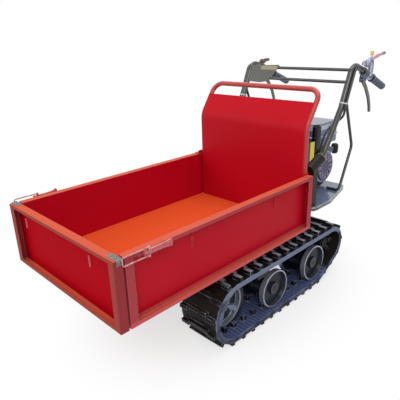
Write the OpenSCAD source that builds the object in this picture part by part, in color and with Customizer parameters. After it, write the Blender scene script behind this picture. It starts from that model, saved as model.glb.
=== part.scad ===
// Tracked power carrier: a petrol mini dumper with an extendable steel load bed,
// two rubber tracks and a walk-behind handlebar.
// Millimetres. +Z is up, the ground is Z = 0, the load bed points to -Y and the handles to +Y.

/* [Load bed] */
// outside width of the load bed
tray_w = 660; // [640:1:700]
// length of the load bed from the gate's face to the side panels' rear ends
tray_l = 974; // [940:1:1060]
// height of the framed panels
tray_h = 230; // [190:1:280]
// height of the bed's bottom edge above the ground
tray_z = 333; // [330:1:350]
// depth of a framed panel, from its sheet's back to its face
panel_d = 29.5; // [26:0.5:32]
// thickness of the panels' sheet steel
sheet_t = 2.5; // [2:0.5:3]
// height of a panel's top and bottom rail
rail_h = 12; // [10:1:16]
// width of a panel's end post
post_w = 28; // [22:1:34]
// thickness of the floor sheet
floor_t = 3; // [2:0.5:4]
// height of the floor's top above the bed's bottom edge
floor_up = 20; // [19:0.5:24]
// gap between the gate and the side panels
corner_gap = 6.5; // [5:0.5:8]
// width of a runner that carries a panel
runner_w = 35; // [28:1:40]
// clearance of a runner in its tube
slide_gap = 0.4; // [0.3:0.1:0.6]

/* [Headboard] */
// diameter of the headboard's tube frame
board_tube_d = 22; // [19:0.5:25]
// height of the bend above the floor
board_bend_up = 408; // [380:1:430]
// height of the top tube above the floor
board_top_up = 544; // [525:1:560]
// how far the top tube leans back
board_lean = 92; // [80:1:100]
// radius of the top corners
board_corner_r = 48; // [35:1:60]
// width of the open hand-hold under the top tube, along the slope
hold_gap = 52; // [40:1:65]

/* [Tracks] */
// width of one track belt
track_w = 180; // [170:1:184]
// distance between the outer edges of the two tracks
track_span = 650; // [640:1:656]
// thickness of the belt
belt_t = 20; // [18:0.5:22]
// height of the outer lugs
lug_h = 16; // [12:0.5:18]
// thickness of an outer lug
lug_t = 16; // [12:1:20]
// number of lugs round the belt
lug_count = 33; // [30:1:36]
// height of the inner guide lugs
guide_h = 22; // [18:1:23]
// running gap between the wheels and the belt
run_gap = 0.8; // [0.6:0.1:1]
// radius of the front idler wheel
idler_r = 104; // [100:1:106]
// distance of the front idler's axle ahead of the bed's rear end
idler_ahead = 460; // [454:1:464]
// radius of a road wheel
wheel_r = 82; // [78:1:84]
// distance of the first road wheel ahead of the bed's rear end
wheel_ahead = 205; // [194:1:214]
// distance of the second road wheel behind the bed's rear end
wheel_back = 94; // [81:1:96]
// radius of the drive sprocket
sprocket_r = 71; // [68:1:73]
// distance of the drive sprocket behind the bed's rear end
sprocket_back = 214; // [210:1:218]
// height of the drive sprocket's axle
sprocket_z = 168; // [164:1:172]
// diameter of the road wheel axles
axle_d = 25; // [20:1:28]
// radial clearance of a running fit
fit_gap = 0.05; // [0.03:0.01:0.08]

/* [Chassis] */
// distance of the tipping axle ahead of the bed's rear end
pivot_ahead = 544; // [538:1:549]
// diameter of the tipping axle
pivot_d = 20; // [18:1:22]
// gap between a chassis rail and its track
rail_gap = 20; // [19:1:22]
// width of a chassis rail
rail_w = 40; // [36:1:42]
// height of a chassis rail
chassis_h = 60; // [54:1:62]
// wall of the chassis and handle post tubes
tube_wall = 4; // [3:0.5:5]
// height of the engine platform's top above the ground
platform_z = 400; // [396:1:406]
// thickness of the engine platform
platform_t = 6; // [5:0.5:7]

/* [Engine] */
// distance of the crankshaft behind the bed's rear end
crank_back = 330; // [328:1:334]
// height of the crankshaft above the platform
crank_up = 106; // [105:1:108]
// radius of the recoil starter's cover
recoil_r = 78; // [72:1:82]
// radius of the fan shroud
shroud_r = 103; // [98:1:104]
// tilt of the cylinder above level
cyl_tilt = 25; // [23:1:27]

/* [Handlebar] */
// distance between the middles of the two arms
arm_span = 560; // [556:1:564]
// diameter of the arms
arm_d = 26; // [24:0.5:27]
// diameter of the crossbars
cross_d = 14; // [12:0.5:16]
// diameter of the brace rods
brace_d = 13; // [11:0.5:14]
// diameter of the grips
grip_d = 34; // [32:0.5:36]
// length of a grip
grip_l = 137; // [120:1:140]
// diameter of the control cables
cable_d = 10; // [8:0.5:11]

/* [Hidden] */
$fn = 48;
eps = 0.01;
bend_lap = 0.5;
bend_thin = 0.12;
red = [0.62, 0.03, 0.08];
dark = [0.10, 0.10, 0.11];
steel = [0.62, 0.63, 0.65];
black = [0.05, 0.05, 0.06];

// places along the machine
idler_y = tray_l - idler_ahead;
wheel_y1 = tray_l - wheel_ahead;
wheel_y2 = tray_l + wheel_back;
sprocket_y = tray_l + sprocket_back;
pivot_y = tray_l - pivot_ahead;
crank_y = tray_l + crank_back;

// load bed
side_x = tray_w / 2;
sheet_x = side_x - panel_d;
floor_z = tray_z + floor_up;
top_z = tray_z + tray_h;
panel_y = panel_d + corner_gap;
tube_h = floor_up - floor_t;
tube_t = 2;
runner_h = tube_h - 2 * tube_t - 2 * slide_gap;
runner_z = tray_z + tube_t + slide_gap;
tube_w = runner_w + 2 * tube_t + 2 * slide_gap;
side_run_y = [pivot_y - 90, tray_l - 194];
gate_run_x = 200;
gate_tube_y = panel_d + 4;
gate_tube_l = side_run_y[0] - tube_w / 2 - gate_tube_y;
gate_run_l = gate_tube_l - 10;
side_run_l = sheet_x - 12;
subrail_h = 36;
subrail_w = 20;
subrail_z = tray_z - subrail_h;
pivot_z = tray_z - 27;
pivot_lug_r = 20;
rest_gap = 0.3;
board_r = board_tube_d / 2;
board_y = tray_l - 3.5;
board_x = sheet_x - 0.5 - board_r;
board_face_y = board_y - board_r - sheet_t;
floor_y1 = board_y + board_r + 3;
bend_z = floor_z + board_bend_up;
board_top_z = floor_z + board_top_up;
board_top_y = board_y + board_lean;
board_bend_r = 80;
board_dir = [board_lean, board_top_z - bend_z] / norm([board_lean, board_top_z - bend_z]);

// corner latches, all measured from the side panel's face
latch_w = 26;
latch_z = top_z - 6;
latch_wire = 4.6;
latch_eye_t = 6;
latch_x = side_x + 9;
latch_y = 100;
latch_throw = 12;
latch_pin_d = 6;
latch_ear_t = 3;
latch_base_t = 2;
latch_seat = 0.05;
latch_ear_in = 4;
latch_reach = 90;
hook_gap = 0.6;
lever_l = 88;

// tracks
track_x1 = track_span / 2;
track_x0 = track_x1 - track_w;
track_xc = (track_x0 + track_x1) / 2;
belt_r0 = idler_r + run_gap;
belt_r1 = sprocket_r + run_gap;
belt_r2 = wheel_r + run_gap;
idler_z = lug_h + belt_t + belt_r0;
wheel_z = lug_h + belt_t + belt_r2;
bc = [[idler_y, idler_z], [sprocket_y, sprocket_z], [wheel_y2, wheel_z]];
br = [belt_r0, belt_r1, belt_r2];
function seg_n(i, j) =
    let (d = bc[j] - bc[i], l = norm(d), u = d / l, a = (br[i] - br[j]) / l)
    a * u + sqrt(1 - a * a) * [-u[1], u[0]];
function seg_l(i, j) = sqrt(pow(norm(bc[j] - bc[i]), 2) - pow(br[i] - br[j], 2));
function turn(a, b) = let (d = atan2(a[1], a[0]) - atan2(b[1], b[0])) d < 0 ? d + 360 : d;
bn = [seg_n(0, 1), seg_n(1, 2), seg_n(2, 0)];
pitch_e = belt_t / 2;
arc_l = [for (i = [0:2]) turn(bn[(i + 2) % 3], bn[i]) * PI / 180 * (br[i] + pitch_e)];
run_l = [seg_l(0, 1), seg_l(1, 2), seg_l(2, 0)];
s1 = run_l[0];
s2 = s1 + arc_l[1];
s3 = s2 + run_l[1];
s4 = s3 + arc_l[2];
s5 = s4 + run_l[2];
belt_len = s5 + arc_l[0];
lug_pitch = belt_len / lug_count;
function on_run(i, s, e) =
    let (n = bn[i], p = bc[i] + (br[i] + e) * n + [n[1], -n[0]] * s)
    [p, atan2(n[1], n[0])];
function on_arc(i, s, e) =
    let (n = bn[(i + 2) % 3], a = atan2(n[1], n[0]) - s / (br[i] + pitch_e) * 180 / PI)
    [bc[i] + (br[i] + e) * [cos(a), sin(a)], a];
function on_belt(q, e) =
    let (s = q - belt_len * floor(q / belt_len))
    s < s1 ? on_run(0, s, e)
    : s < s2 ? on_arc(1, s - s1, e)
    : s < s3 ? on_run(1, s - s2, e)
    : s < s4 ? on_arc(2, s - s3, e)
    : s < s5 ? on_run(2, s - s4, e)
    : on_arc(0, s - s5, e);
guide_in = 30;
guide_w = 16;
groove_w = 2 * (guide_in + guide_w) + 8;
groove_r = 48;
wheel_w = 144;
idler_w = 52;
idler_rim = 24;
idler_hub_r = 30;
web = 12;
lug_mid_w = 96;
lug_edge = 5;
lug_step = 11;
cap_gap = 1;
sprocket_t = 26;
teeth = 9;
half_shaft_d = 28;
axle_out = track_xc + 48;
idler_axle_out = track_xc + 12;

// chassis
rail_out = track_x0 - rail_gap;
rail_x = rail_out - rail_w / 2;
rail_in = rail_out - rail_w;
ear_gap = 15;
subrail_in = rail_in - ear_gap - subrail_w;
rail_top = subrail_z - 7;
rail_z = rail_top - chassis_h;
rail_y0 = pivot_y - 15;
riser_y = [tray_l + 112, tray_l + 302];
riser_w = 40;
rail_y1 = riser_y[1] + 16;
rest_y = wheel_y1 + 136;
hang_t = 16;
yoke_t = 12;
yoke_h = 50;
yoke_y1 = idler_y + 190;
screw_d = 12;
screw_lug_y = wheel_y1 - 31;
skid_y = idler_y + 144;
skid_l = 76;
skid_half = 66;
skid_top = on_run(0, skid_y + skid_l - idler_y, 0)[0][1] - 1;

// engine
crank_z = platform_z + crank_up;
case_x0 = -70;
case_x1 = 95;
shroud_x1 = 172;
recoil_x1 = 200;
cyl_face = 78;
cyl_half = 58;
case_top = crank_z + sin(cyl_tilt) * cyl_face + cos(cyl_tilt) * cyl_half;
tank_z0 = platform_z + 222;
tank_z1 = platform_z + 320;
pulley_gap = 25;
pulley_x = -rail_out - pulley_gap;
pulley_w = 14;
crank_pulley_r = 35;
box_pulley_r = 45;
box_pulley_y = sprocket_y + 27;
box_x = rail_in - 7;
box_top_x = rail_in - 30;
shaft_in = rail_in - 49;
box_pulley_z = platform_z - 60;
vbelt_t = 8;
vbelt_gap = 0.6;
shaft_d = 20;
tens_y = crank_y + 84;
tens_z = platform_z + 24;
tens_arm = [-36, 36];
tens_r = 14;
tens_pin_d = 10;

// handlebar, as points [Y, Z] in the plane of an arm
arm_x = arm_span / 2;
arm_r = arm_d / 2;
arm_a = [tray_l + 56, platform_z + 170];
arm_b = [tray_l + 150, platform_z + 209];
arm_c = [tray_l + 282, platform_z + 400];
arm_e = [tray_l + 358, platform_z + 582];
arm_slope = atan2(arm_e[1] - arm_c[1], arm_e[0] - arm_c[0]);
arm_bend_r = 45;
grip_end_s = 342;
grip_tilt = 21.6;
gdir = [cos(grip_tilt), -sin(grip_tilt)];
gup = [sin(grip_tilt), cos(grip_tilt)];
function gp(s, h) = arm_e + gdir * s + gup * h;
arm_end = gp(grip_end_s - 3, 0);
socket_a = atan2(arm_b[1] - arm_a[1], arm_b[0] - arm_a[0]);
socket_l = 84;
socket_d = 48;
socket_plug = 10;
upright_w = 32;
post_y = arm_a[0] + 20;
function arm_at(z) = arm_c + (arm_e - arm_c) * (z - arm_c[1]) / (arm_e[1] - arm_c[1]);
cross_p = [arm_at(arm_e[1] - 27), arm_at(arm_e[1] - 77)];
brace_foot = [arm_c[0] + 40, platform_z + brace_d / 2];
brace_p = [arm_at(arm_e[1] - 120), [arm_e[0] + 56, platform_z + 206], brace_foot];
steer_p = gp(125, -36);
clutch_p = gp(92, 31);
throttle_p = gp(92, 30);
knob_z = arm_e[1] + 28;
pin_d = 6;
lever_t = 8;
rear_y = gp(grip_end_s, grip_d / 2)[0];
y_mid = rear_y / 2;

// rotates a shape that is drawn in the Y-Z plane and runs along X from x0 to x1
module yz(x0, x1) {
    translate([x0, 0, 0])
        rotate([90, 0, 90])
            linear_extrude(x1 - x0)
                children();
}

// a cylinder along X at [y, z]
module xcyl(x0, x1, p, d) {
    translate([x0, p[0], p[1]])
        rotate([0, 90, 0])
            cylinder(h = x1 - x0, d = d);
}

// a cylinder between two points
module bar(a, b, d) {
    v = b - a;
    translate(a)
        rotate([0, acos(v[2] / norm(v)), atan2(v[1], v[0])])
            cylinder(h = norm(v), d = d);
}

function unit(v) = v / norm(v);
function bend_t(p, i, r) =
    let (u = unit(p[i] - p[i - 1]), w = unit(p[i + 1] - p[i]), c = max(-1, min(1, u * w)))
    r * tan(acos(c) / 2);

// a round bar along points, bent with a true radius at each corner
// the bends are a hair thinner than the straights, which reach a little way over them
module bent(p, d, r) {
    n = len(p);
    for (i = [0:n - 2]) {
        u = unit(p[i + 1] - p[i]);
        a = i == 0 ? p[0] : p[i] + u * (bend_t(p, i, r[i]) - bend_lap);
        b = i == n - 2 ? p[n - 1] : p[i + 1] - u * (bend_t(p, i + 1, r[i + 1]) - bend_lap);
        bar(a, b, d);
    }
    for (i = [1:n - 2]) {
        u = unit(p[i] - p[i - 1]);
        w = unit(p[i + 1] - p[i]);
        ang = acos(max(-1, min(1, u * w)));
        m = unit(w - u * (u * w));
        q = p[i] - u * bend_t(p, i, r[i]) + m * r[i];
        k = cross(-m, u);
        multmatrix([
            [-m[0], u[0], k[0], q[0]],
            [-m[1], u[1], k[1], q[1]],
            [-m[2], u[2], k[2], q[2]],
            [0, 0, 0, 1]
        ])
            rotate_extrude(angle = ang)
                translate([r[i], 0])
                    circle(d = d - bend_thin);
    }
}

// a flat strip between two points, in two dimensions
module strip(a, b, w) {
    u = unit(b - a);
    k = [-u[1], u[0]] * w / 2;
    polygon([a + k, a - k, b - k, b + k]);
}

// a flat bar along points with round joints, in two dimensions
module flat_path(p, w) {
    for (i = [0:len(p) - 2])
        strip(p[i], p[i + 1], w[i]);
    for (i = [0:len(p) - 1])
        translate(p[i])
            circle(d = w[min(i, len(w) - 1)]);
}

// points of an arc about c from angle a0 to a1, in k steps
function arc_pts(c, r, a0, a1, k) = [
    for (i = [0:k])
        let (a = a0 + (a1 - a0) * i / k)
        c + r * [cos(a), sin(a)]
];

// points of a polygon whose corners are rounded
function round_poly(p, r, k = 5) = [
    for (i = [0:len(p) - 1])
        let (
            n = len(p),
            u = unit(p[i] - p[(i + n - 1) % n]),
            w = unit(p[(i + 1) % n] - p[i]),
            ang = acos(max(-1, min(1, u * w))),
            t = r * tan(ang / 2),
            m = unit(w - u * (u * w)),
            q = p[i] - u * t + m * r
        )
        for (j = [0:k])
            q - m * r * cos(ang * j / k) + u * r * sin(ang * j / k)
];

// points of a convex polygon, counter-clockwise, drawn in by d
function inset(p, d) = [
    for (i = [0:len(p) - 1])
        let (
            n = len(p),
            u = unit(p[i] - p[(i + n - 1) % n]),
            w = unit(p[(i + 1) % n] - p[i]),
            a = [-u[1], u[0]],
            b = [-w[1], w[0]]
        )
        p[i] + (a + b) * d / (1 + a * b)
];

// a swept tube along points: one closed polyhedron with flat ends
module swept(p, d, sides = 8) {
    n = len(p);
    tan_at = [for (i = [0:n - 1]) unit(p[min(i + 1, n - 1)] - p[max(i - 1, 0)])];
    ring = [
        for (i = [0:n - 1])
            let (k = unit(cross(tan_at[i], [1, 0, 0])), m = cross(tan_at[i], k))
            for (j = [0:sides - 1])
                p[i] + (k * cos(360 * j / sides) + m * sin(360 * j / sides)) * d / 2
    ];
    walls = [
        for (i = [0:n - 2], j = [0:sides - 1])
            let (a = i * sides + j, b = i * sides + (j + 1) % sides)
            each [[a, a + sides, b], [b, a + sides, b + sides]]
    ];
    cap0 = [for (j = [1:sides - 2]) [0, j, j + 1]];
    z = (n - 1) * sides;
    cap1 = [for (j = [1:sides - 2]) [z, z + j + 1, z + j]];
    polyhedron(points = ring, faces = concat(walls, cap0, cap1));
}

module both() {
    children();
    mirror([1, 0, 0])
        children();
}

module placed() {
    translate([0, -y_mid, 0])
        children();
}

// a framed panel in the X-Z plane, face at Y = 0, w wide, standing on Z = 0
module framed(w, h) {
    difference() {
        cube([w, panel_d, h]);
        translate([post_w, -1, rail_h])
            cube([w - 2 * post_w, panel_d - sheet_t + 1, h - 2 * rail_h]);
        translate([sheet_t, sheet_t, sheet_t])
            cube([w - 2 * sheet_t, panel_d - 2 * sheet_t, h - 2 * sheet_t]);
    }
}

// a rectangular tube along X
module box_tube(l, w, h, t) {
    difference() {
        cube([l, w, h]);
        translate([-1, t, t])
            cube([l + 2, w - 2 * t, h - 2 * t]);
    }
}

module tray_floor() {
    color(red)
        translate([-sheet_x + 0.5, panel_d + 0.5, floor_z - floor_t])
            cube([2 * sheet_x - 1, floor_y1 - panel_d - 0.5, floor_t]);
}

module tray_subframe() {
    color(red)
        difference() {
            union() {
                for (y = side_run_y)
                    translate([-sheet_x + 1, y - tube_w / 2, tray_z])
                        box_tube(2 * sheet_x - 2, tube_w, tube_h, tube_t);
                for (s = [-1, 1])
                    translate([s * gate_run_x + tube_w / 2, gate_tube_y, tray_z])
                        rotate([0, 0, 90])
                            box_tube(gate_tube_l, tube_w, tube_h, tube_t);
                both() {
                    translate([subrail_in, gate_tube_y + 30, subrail_z])
                        cube([subrail_w, board_y - gate_tube_y - 30, subrail_h]);
                    xcyl(subrail_in, subrail_in + subrail_w, [pivot_y, pivot_z], 2 * pivot_lug_r);
                }
                translate([-gate_run_x - tube_w / 2, gate_tube_y + 30, subrail_z])
                    cube([2 * gate_run_x + tube_w, subrail_w, subrail_h]);
                translate([-board_x - 8, board_y - 10, tray_z])
                    cube([2 * board_x + 16, 22, tube_h]);
            }
            both()
                translate([subrail_in + tube_wall, gate_tube_y + 60, subrail_z + tube_wall])
                    cube([
                        subrail_w - 2 * tube_wall, pivot_y - 100 - gate_tube_y, subrail_h - 2 * tube_wall
                    ]);
            both()
                translate([subrail_in + tube_wall, pivot_y + 40, subrail_z + tube_wall])
                    cube([subrail_w - 2 * tube_wall, board_y - pivot_y - 60, subrail_h - 2 * tube_wall]);
            xcyl(-rail_in, rail_in, [pivot_y, pivot_z], pivot_d + 2 * fit_gap);
        }
}

// the sheet lies on the tube's front and follows its bend
module headboard_sheet() {
    lean = atan2(board_dir[0], board_dir[1]);
    run = board_bend_r * tan(lean / 2);
    up = norm([board_lean, board_top_z - bend_z]) - run - hold_gap - board_r;
    c = [board_y + board_bend_r, bend_z - run];
    back = arc_pts(c, board_bend_r + board_r, 180 - lean, 180, 16);
    face = arc_pts(c, board_bend_r + board_r + sheet_t, 180, 180 - lean, 16);
    color(red)
        yz(-board_x, board_x)
            polygon(concat(
                [[board_face_y + sheet_t, floor_z], [board_face_y, floor_z]],
                face,
                [face[16] + board_dir * up, back[0] + board_dir * up],
                back
            ));
}

module headboard_tube() {
    x = board_x;
    p = [
        [-x, board_y, floor_z],
        [-x, board_y, bend_z],
        [-x, board_top_y, board_top_z],
        [x, board_top_y, board_top_z],
        [x, board_y, bend_z],
        [x, board_y, floor_z]
    ];
    color(red)
        bent(p, board_tube_d, [0, board_bend_r, board_corner_r, board_corner_r, board_bend_r, 0]);
}

module gate() {
    color(red) {
        translate([-side_x, 0, tray_z])
            framed(tray_w, tray_h);
        for (s = [-1, 1])
            translate([s * gate_run_x - runner_w / 2, panel_d - eps, runner_z])
                cube([runner_w, gate_run_l, runner_h]);
        for (x = [62 - side_x, side_x - 171])
            translate([x - 2.5, panel_d - sheet_t - 4, top_z - 86])
                cube([5, 4 + eps, 38]);
    }
}

module gate_hooks() {
    nose_x = latch_x - latch_wire / 2 - hook_gap;
    color(steel)
        both() {
            translate([side_x - 46, 8, top_z])
                cube([46 + 2.5, 20, 2.5]);
            translate([side_x, 8, latch_z - 9])
                cube([2.5, 20, top_z - latch_z + 9 + eps]);
            translate([side_x, 14, latch_z - 5])
                cube([nose_x - side_x, 8, 10]);
        }
}

module side_panel() {
    color(red) {
        translate([side_x, panel_y, tray_z])
            rotate([0, 0, 90])
                framed(tray_l - panel_y, tray_h);
        for (y = side_run_y)
            translate([sheet_x - side_run_l, y - runner_w / 2, runner_z])
                cube([side_run_l + eps, runner_w, runner_h]);
        for (y = [tray_l - 665, tray_l - 226])
            translate([sheet_x + sheet_t - eps, y - 2.5, top_z - 75])
                cube([4, 5, 48]);
        // latch base with its two ears and pivot pin, riveted on
        translate([side_x + latch_seat, latch_y - 20, latch_z - 9])
            cube([latch_base_t, 30, top_z - latch_z + 8]);
        for (k = [-1, 1])
            translate([0, 0, latch_z + k * (latch_ear_in + latch_ear_t / 2) - latch_ear_t / 2])
                linear_extrude(latch_ear_t) {
                    translate([side_x + latch_base_t / 2, latch_y - 6])
                        square([latch_x - side_x - latch_base_t / 2, 12]);
                    translate([latch_x, latch_y])
                        circle(r = 6);
                }
        translate([latch_x, latch_y, latch_z - latch_ear_in - latch_ear_t])
            cylinder(h = 2 * (latch_ear_in + latch_ear_t), d = latch_pin_d);
        // rear corner plate
        translate([sheet_x + 2, tray_l - 30, top_z - eps])
            cube([panel_d - 2, 28, 3]);
        translate([sheet_x + 2, tray_l - 30, top_z])
            cube([3, 28, 16]);
    }
}

module side_panel_left() {
    side_panel();
}

module side_panel_right() {
    mirror([1, 0, 0])
        side_panel();
}

module latch_lever() {
    t = 2 * latch_ear_in - 1;
    pin_h = latch_w - latch_eye_t - 1;
    color(red)
        difference() {
            union() {
                translate([latch_x, latch_y, latch_z - t / 2])
                    cylinder(h = t, r = 6.5);
                translate([latch_x - 3.5, latch_y, latch_z - t / 2])
                    cube([7, latch_throw + 6, t]);
                translate([latch_x, latch_y + latch_throw, latch_z - pin_h / 2])
                    cylinder(h = pin_h, r = 4);
                translate([latch_x, latch_y + latch_throw, latch_z - latch_w / 2 - latch_eye_t / 2])
                    cylinder(h = latch_w + latch_eye_t, d = 4);
                translate([latch_x - 3, latch_y + latch_throw + 3, latch_z - 7.5])
                    cube([6, lever_l - latch_throw - 25, 15]);
                translate([latch_x - 3, latch_y + lever_l - 22, latch_z - 7.5])
                    rotate([0, 0, -14])
                        cube([6, 26, 15]);
            }
            translate([latch_x, latch_y, latch_z - 20])
                cylinder(h = 40, d = latch_pin_d + 2 * fit_gap);
        }
}

module latch_lever_left() {
    latch_lever();
}

module latch_lever_right() {
    mirror([1, 0, 0])
        latch_lever();
}

module latch_bail() {
    y0 = latch_y + latch_throw;
    w = latch_w / 2;
    f = y0 - latch_reach;
    color(steel)
        difference() {
            union() {
                for (k = [-1, 1]) {
                    translate([latch_x, y0, latch_z + k * w - latch_eye_t / 2])
                        cylinder(h = latch_eye_t, r = 4.5);
                }
                bent(
                    [
                        [latch_x, y0 - 3, latch_z - w],
                        [latch_x, f, latch_z - w],
                        [latch_x, f, latch_z + w],
                        [latch_x, y0 - 3, latch_z + w]
                    ],
                    latch_wire,
                    [0, 6, 6, 0]
                );
            }
            translate([latch_x, y0, latch_z - 30])
                cylinder(h = 60, d = 4 + 2 * fit_gap);
        }
}

module latch_bail_left() {
    latch_bail();
}

module latch_bail_right() {
    mirror([1, 0, 0])
        latch_bail();
}

module chassis_side() {
    // rail
    difference() {
        translate([rail_in, rail_y0, rail_z])
            cube([rail_w, rail_y1 - rail_y0, chassis_h]);
        translate([rail_in + tube_wall, rail_y0 + 40, rail_z + tube_wall])
            cube([rail_w - 2 * tube_wall, rail_y1 - rail_y0, chassis_h - 2 * tube_wall]);
    }
    // hangers and stub axles of the road wheels
    for (y = [wheel_y1, wheel_y2]) {
        translate([rail_x, y - 30, wheel_z])
            cube([hang_t, 60, rail_z - wheel_z + 1]);
        xcyl(rail_x, rail_x + hang_t, [y, wheel_z], 60);
        xcyl(rail_x, axle_out, [y, wheel_z], axle_d);
    }
    // guide for the idler's yoke and lug for its screw
    translate([rail_x, idler_y + 66, idler_z - yoke_h / 2 - 6])
        cube([rail_out + 2 - rail_x, 120, rail_z - idler_z + yoke_h / 2 + 7]);
    translate([rail_x, screw_lug_y, idler_z - 18])
        cube([rail_out + 18 - rail_x, 10, rail_z - idler_z + 19]);
    // risers under the engine platform
    for (y = riser_y)
        translate([rail_x - riser_w / 2, y - riser_w / 2, rail_top - 1])
            cube([riser_w, riser_w, platform_z - platform_t - rail_top + 1]);
    // skid that carries the upper run of the track
    translate([rail_out - 1, skid_y, skid_top - guide_h - 16])
        cube([track_xc + skid_half + 1 - rail_out, skid_l, 12]);
    for (x = [track_xc - skid_half, track_xc + groove_w / 2])
        translate([x, skid_y, skid_top - guide_h - 6])
            cube([skid_half - groove_w / 2, skid_l, guide_h + 6]);
}

module chassis_frame() {
    color(dark)
        difference() {
            both()
                chassis_side();
            both()
                translate([rail_out + 8, screw_lug_y - 1, idler_z])
                    rotate([-90, 0, 0])
                        cylinder(h = 12, d = screw_d + 1);
        }
}

// cross tubes between the rails, the bed's rest and the two ears of the tipping axle
module cross_tubes_and_ears() {
    color(dark)
        difference() {
            union() {
                for (y = [[pivot_y + 70, 40], [rest_y, 40], [rail_y1 - 22, 22]])
                    translate([-rail_in, y[0], rail_z + 10])
                        cube([2 * rail_in, y[1], chassis_h - 10]);
                translate([-rail_in + 4, rest_y, rail_top - 1])
                    cube([2 * rail_in - 8, 40, subrail_z - rest_gap - rail_top + 1]);
                both() {
                    xcyl(rail_in, rail_out, [pivot_y, pivot_z], 2 * pivot_lug_r);
                    translate([rail_in, pivot_y - 15, rail_top])
                        cube([rail_w, 30, pivot_z - rail_top]);
                }
            }
            xcyl(-rail_out - 1, rail_out + 1, [pivot_y, pivot_z], pivot_d + 2 * fit_gap);
            translate([-rail_out - 1, pivot_y - 30, rail_z])
                cube([2 * rail_out + 2, 60, chassis_h]);
        }
}

module tray_pivot_pin() {
    color(steel) {
        xcyl(-rail_out - 5, rail_out + 5, [pivot_y, pivot_z], pivot_d);
        both()
            xcyl(rail_out, rail_out + 5, [pivot_y, pivot_z], pivot_d + 8);
    }
}

module idler_yokes() {
    x0 = rail_out + 2;
    color(dark)
        both() {
            translate([x0, idler_y, idler_z - yoke_h / 2])
                cube([yoke_t, yoke_y1 - idler_y, yoke_h]);
            xcyl(x0, x0 + yoke_t, [idler_y, idler_z], yoke_h);
            xcyl(x0, idler_axle_out, [idler_y, idler_z], axle_d);
            translate([rail_out + 8, yoke_y1 - 1, idler_z])
                rotate([-90, 0, 0])
                    cylinder(h = screw_lug_y + 30 - yoke_y1, d = screw_d);
            translate([rail_out + 8, screw_lug_y + 10, idler_z])
                rotate([-90, 0, 0])
                    cylinder(h = 9, d = 20, $fn = 6);
        }
}

module belt_2d(e) {
    for (i = [0:2])
        translate(bc[i])
            circle(r = br[i] + e, $fn = 96);
    polygon([
        for (i = [0:2])
            let (j = (i + 1) % 3)
            each [bc[i] + (br[i] + e) * bn[i], bc[j] + (br[j] + e) * bn[i]]
    ]);
}

module lugs_2d(shift) {
    for (k = [0:lug_count - 1]) {
        q = on_belt((k + 0.5) * lug_pitch + shift, belt_t);
        translate(q[0])
            rotate(q[1])
                translate([-2, -lug_t / 2])
                    square([lug_h + 2, lug_t]);
    }
}

module track_belt() {
    color(black) {
        difference() {
            yz(track_x0, track_x1)
                belt_2d(belt_t);
            yz(track_x0 - 1, track_x1 + 1)
                belt_2d(0);
        }
        yz(track_xc - lug_mid_w / 2, track_xc + lug_mid_w / 2)
            lugs_2d(0);
        for (s = [-1, 1]) {
            a = track_xc + s * lug_mid_w / 2;
            b = track_xc + s * (track_w / 2 - lug_edge);
            yz(min(a, b), max(a, b))
                lugs_2d(-lug_step);
        }
        for (x = [track_xc - guide_in - guide_w, track_xc + guide_in])
            yz(x, x + guide_w)
                for (k = [0:lug_count - 1]) {
                    q = on_belt((k + 0.5) * lug_pitch, 0);
                    translate(q[0])
                        rotate(q[1])
                            translate([-guide_h, -9])
                                square([guide_h + 2, 18]);
                }
    }
}

module track_belt_left() {
    track_belt();
}

module track_belt_right() {
    mirror([1, 0, 0])
        track_belt();
}

// a profile [radius, distance from the track's middle] turned about a wheel's axle
module turned(p, pts) {
    translate([track_xc, p[0], p[1]])
        rotate([0, 90, 0])
            rotate_extrude()
                polygon(pts);
}

module road_wheel(y) {
    r = wheel_r;
    b = axle_d / 2 + fit_gap;
    h = wheel_w / 2;
    g = groove_w / 2;
    end = axle_out - track_xc + cap_gap;
    color(dark)
        turned([y, wheel_z], [
            [b, -h], [30, -h], [30, -g - web], [r - web, -g - web], [r - web, -h], [r, -h], [r, -g],
            [groove_r, -g], [groove_r, g], [r, g], [r, h], [r - 7, h], [r - 14, h - 14],
            [28, h - 14], [26, h - 4], [0, h - 4], [0, end], [b, end]
        ]);
}

module road_wheel_front_left() {
    road_wheel(wheel_y1);
}

module road_wheel_rear_left() {
    road_wheel(wheel_y2);
}

module road_wheel_front_right() {
    mirror([1, 0, 0])
        road_wheel(wheel_y1);
}

module road_wheel_rear_right() {
    mirror([1, 0, 0])
        road_wheel(wheel_y2);
}

// a ribbed wheel that runs between the belt's two rows of guide lugs
module front_idler() {
    r = idler_r - idler_rim;
    b = axle_d / 2 + fit_gap;
    h = idler_w / 2;
    end = idler_axle_out - track_xc + cap_gap;
    color(dark) {
        turned([idler_y, idler_z], [
            [b, -h], [idler_hub_r, -h], [idler_hub_r, -6], [r, -6], [r, -h], [idler_r, -h], [idler_r, h],
            [r, h], [r, 6], [idler_hub_r, 6], [idler_hub_r, h - 6], [20, h - 6], [20, h], [0, h],
            [0, end], [b, end]
        ]);
        for (k = [0:4])
            translate([track_xc + 4, idler_y, idler_z])
                rotate([90 + 72 * k, 0, 0])
                    translate([0, -10, idler_hub_r - 4])
                        cube([14, 20, r - idler_hub_r + 7]);
    }
}

module front_idler_left() {
    front_idler();
}

module front_idler_right() {
    mirror([1, 0, 0])
        front_idler();
}

module drive_sprocket() {
    r = sprocket_r;
    c = [sprocket_y, sprocket_z];
    color(dark) {
        yz(track_xc - sprocket_t / 2, track_xc + sprocket_t / 2)
            translate(c) {
                circle(r = r - 13);
                for (k = [0:teeth - 1])
                    rotate(360 / teeth * k)
                        translate([r - 20, -9])
                            square([20, 18]);
            }
        xcyl(track_xc - 46, track_xc + 46, c, 60);
        xcyl(track_xc + 30, track_xc + 52, c, 44);
        xcyl(box_x - 18, track_xc, c, half_shaft_d);
    }
}

module drive_sprocket_left() {
    drive_sprocket();
}

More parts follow.
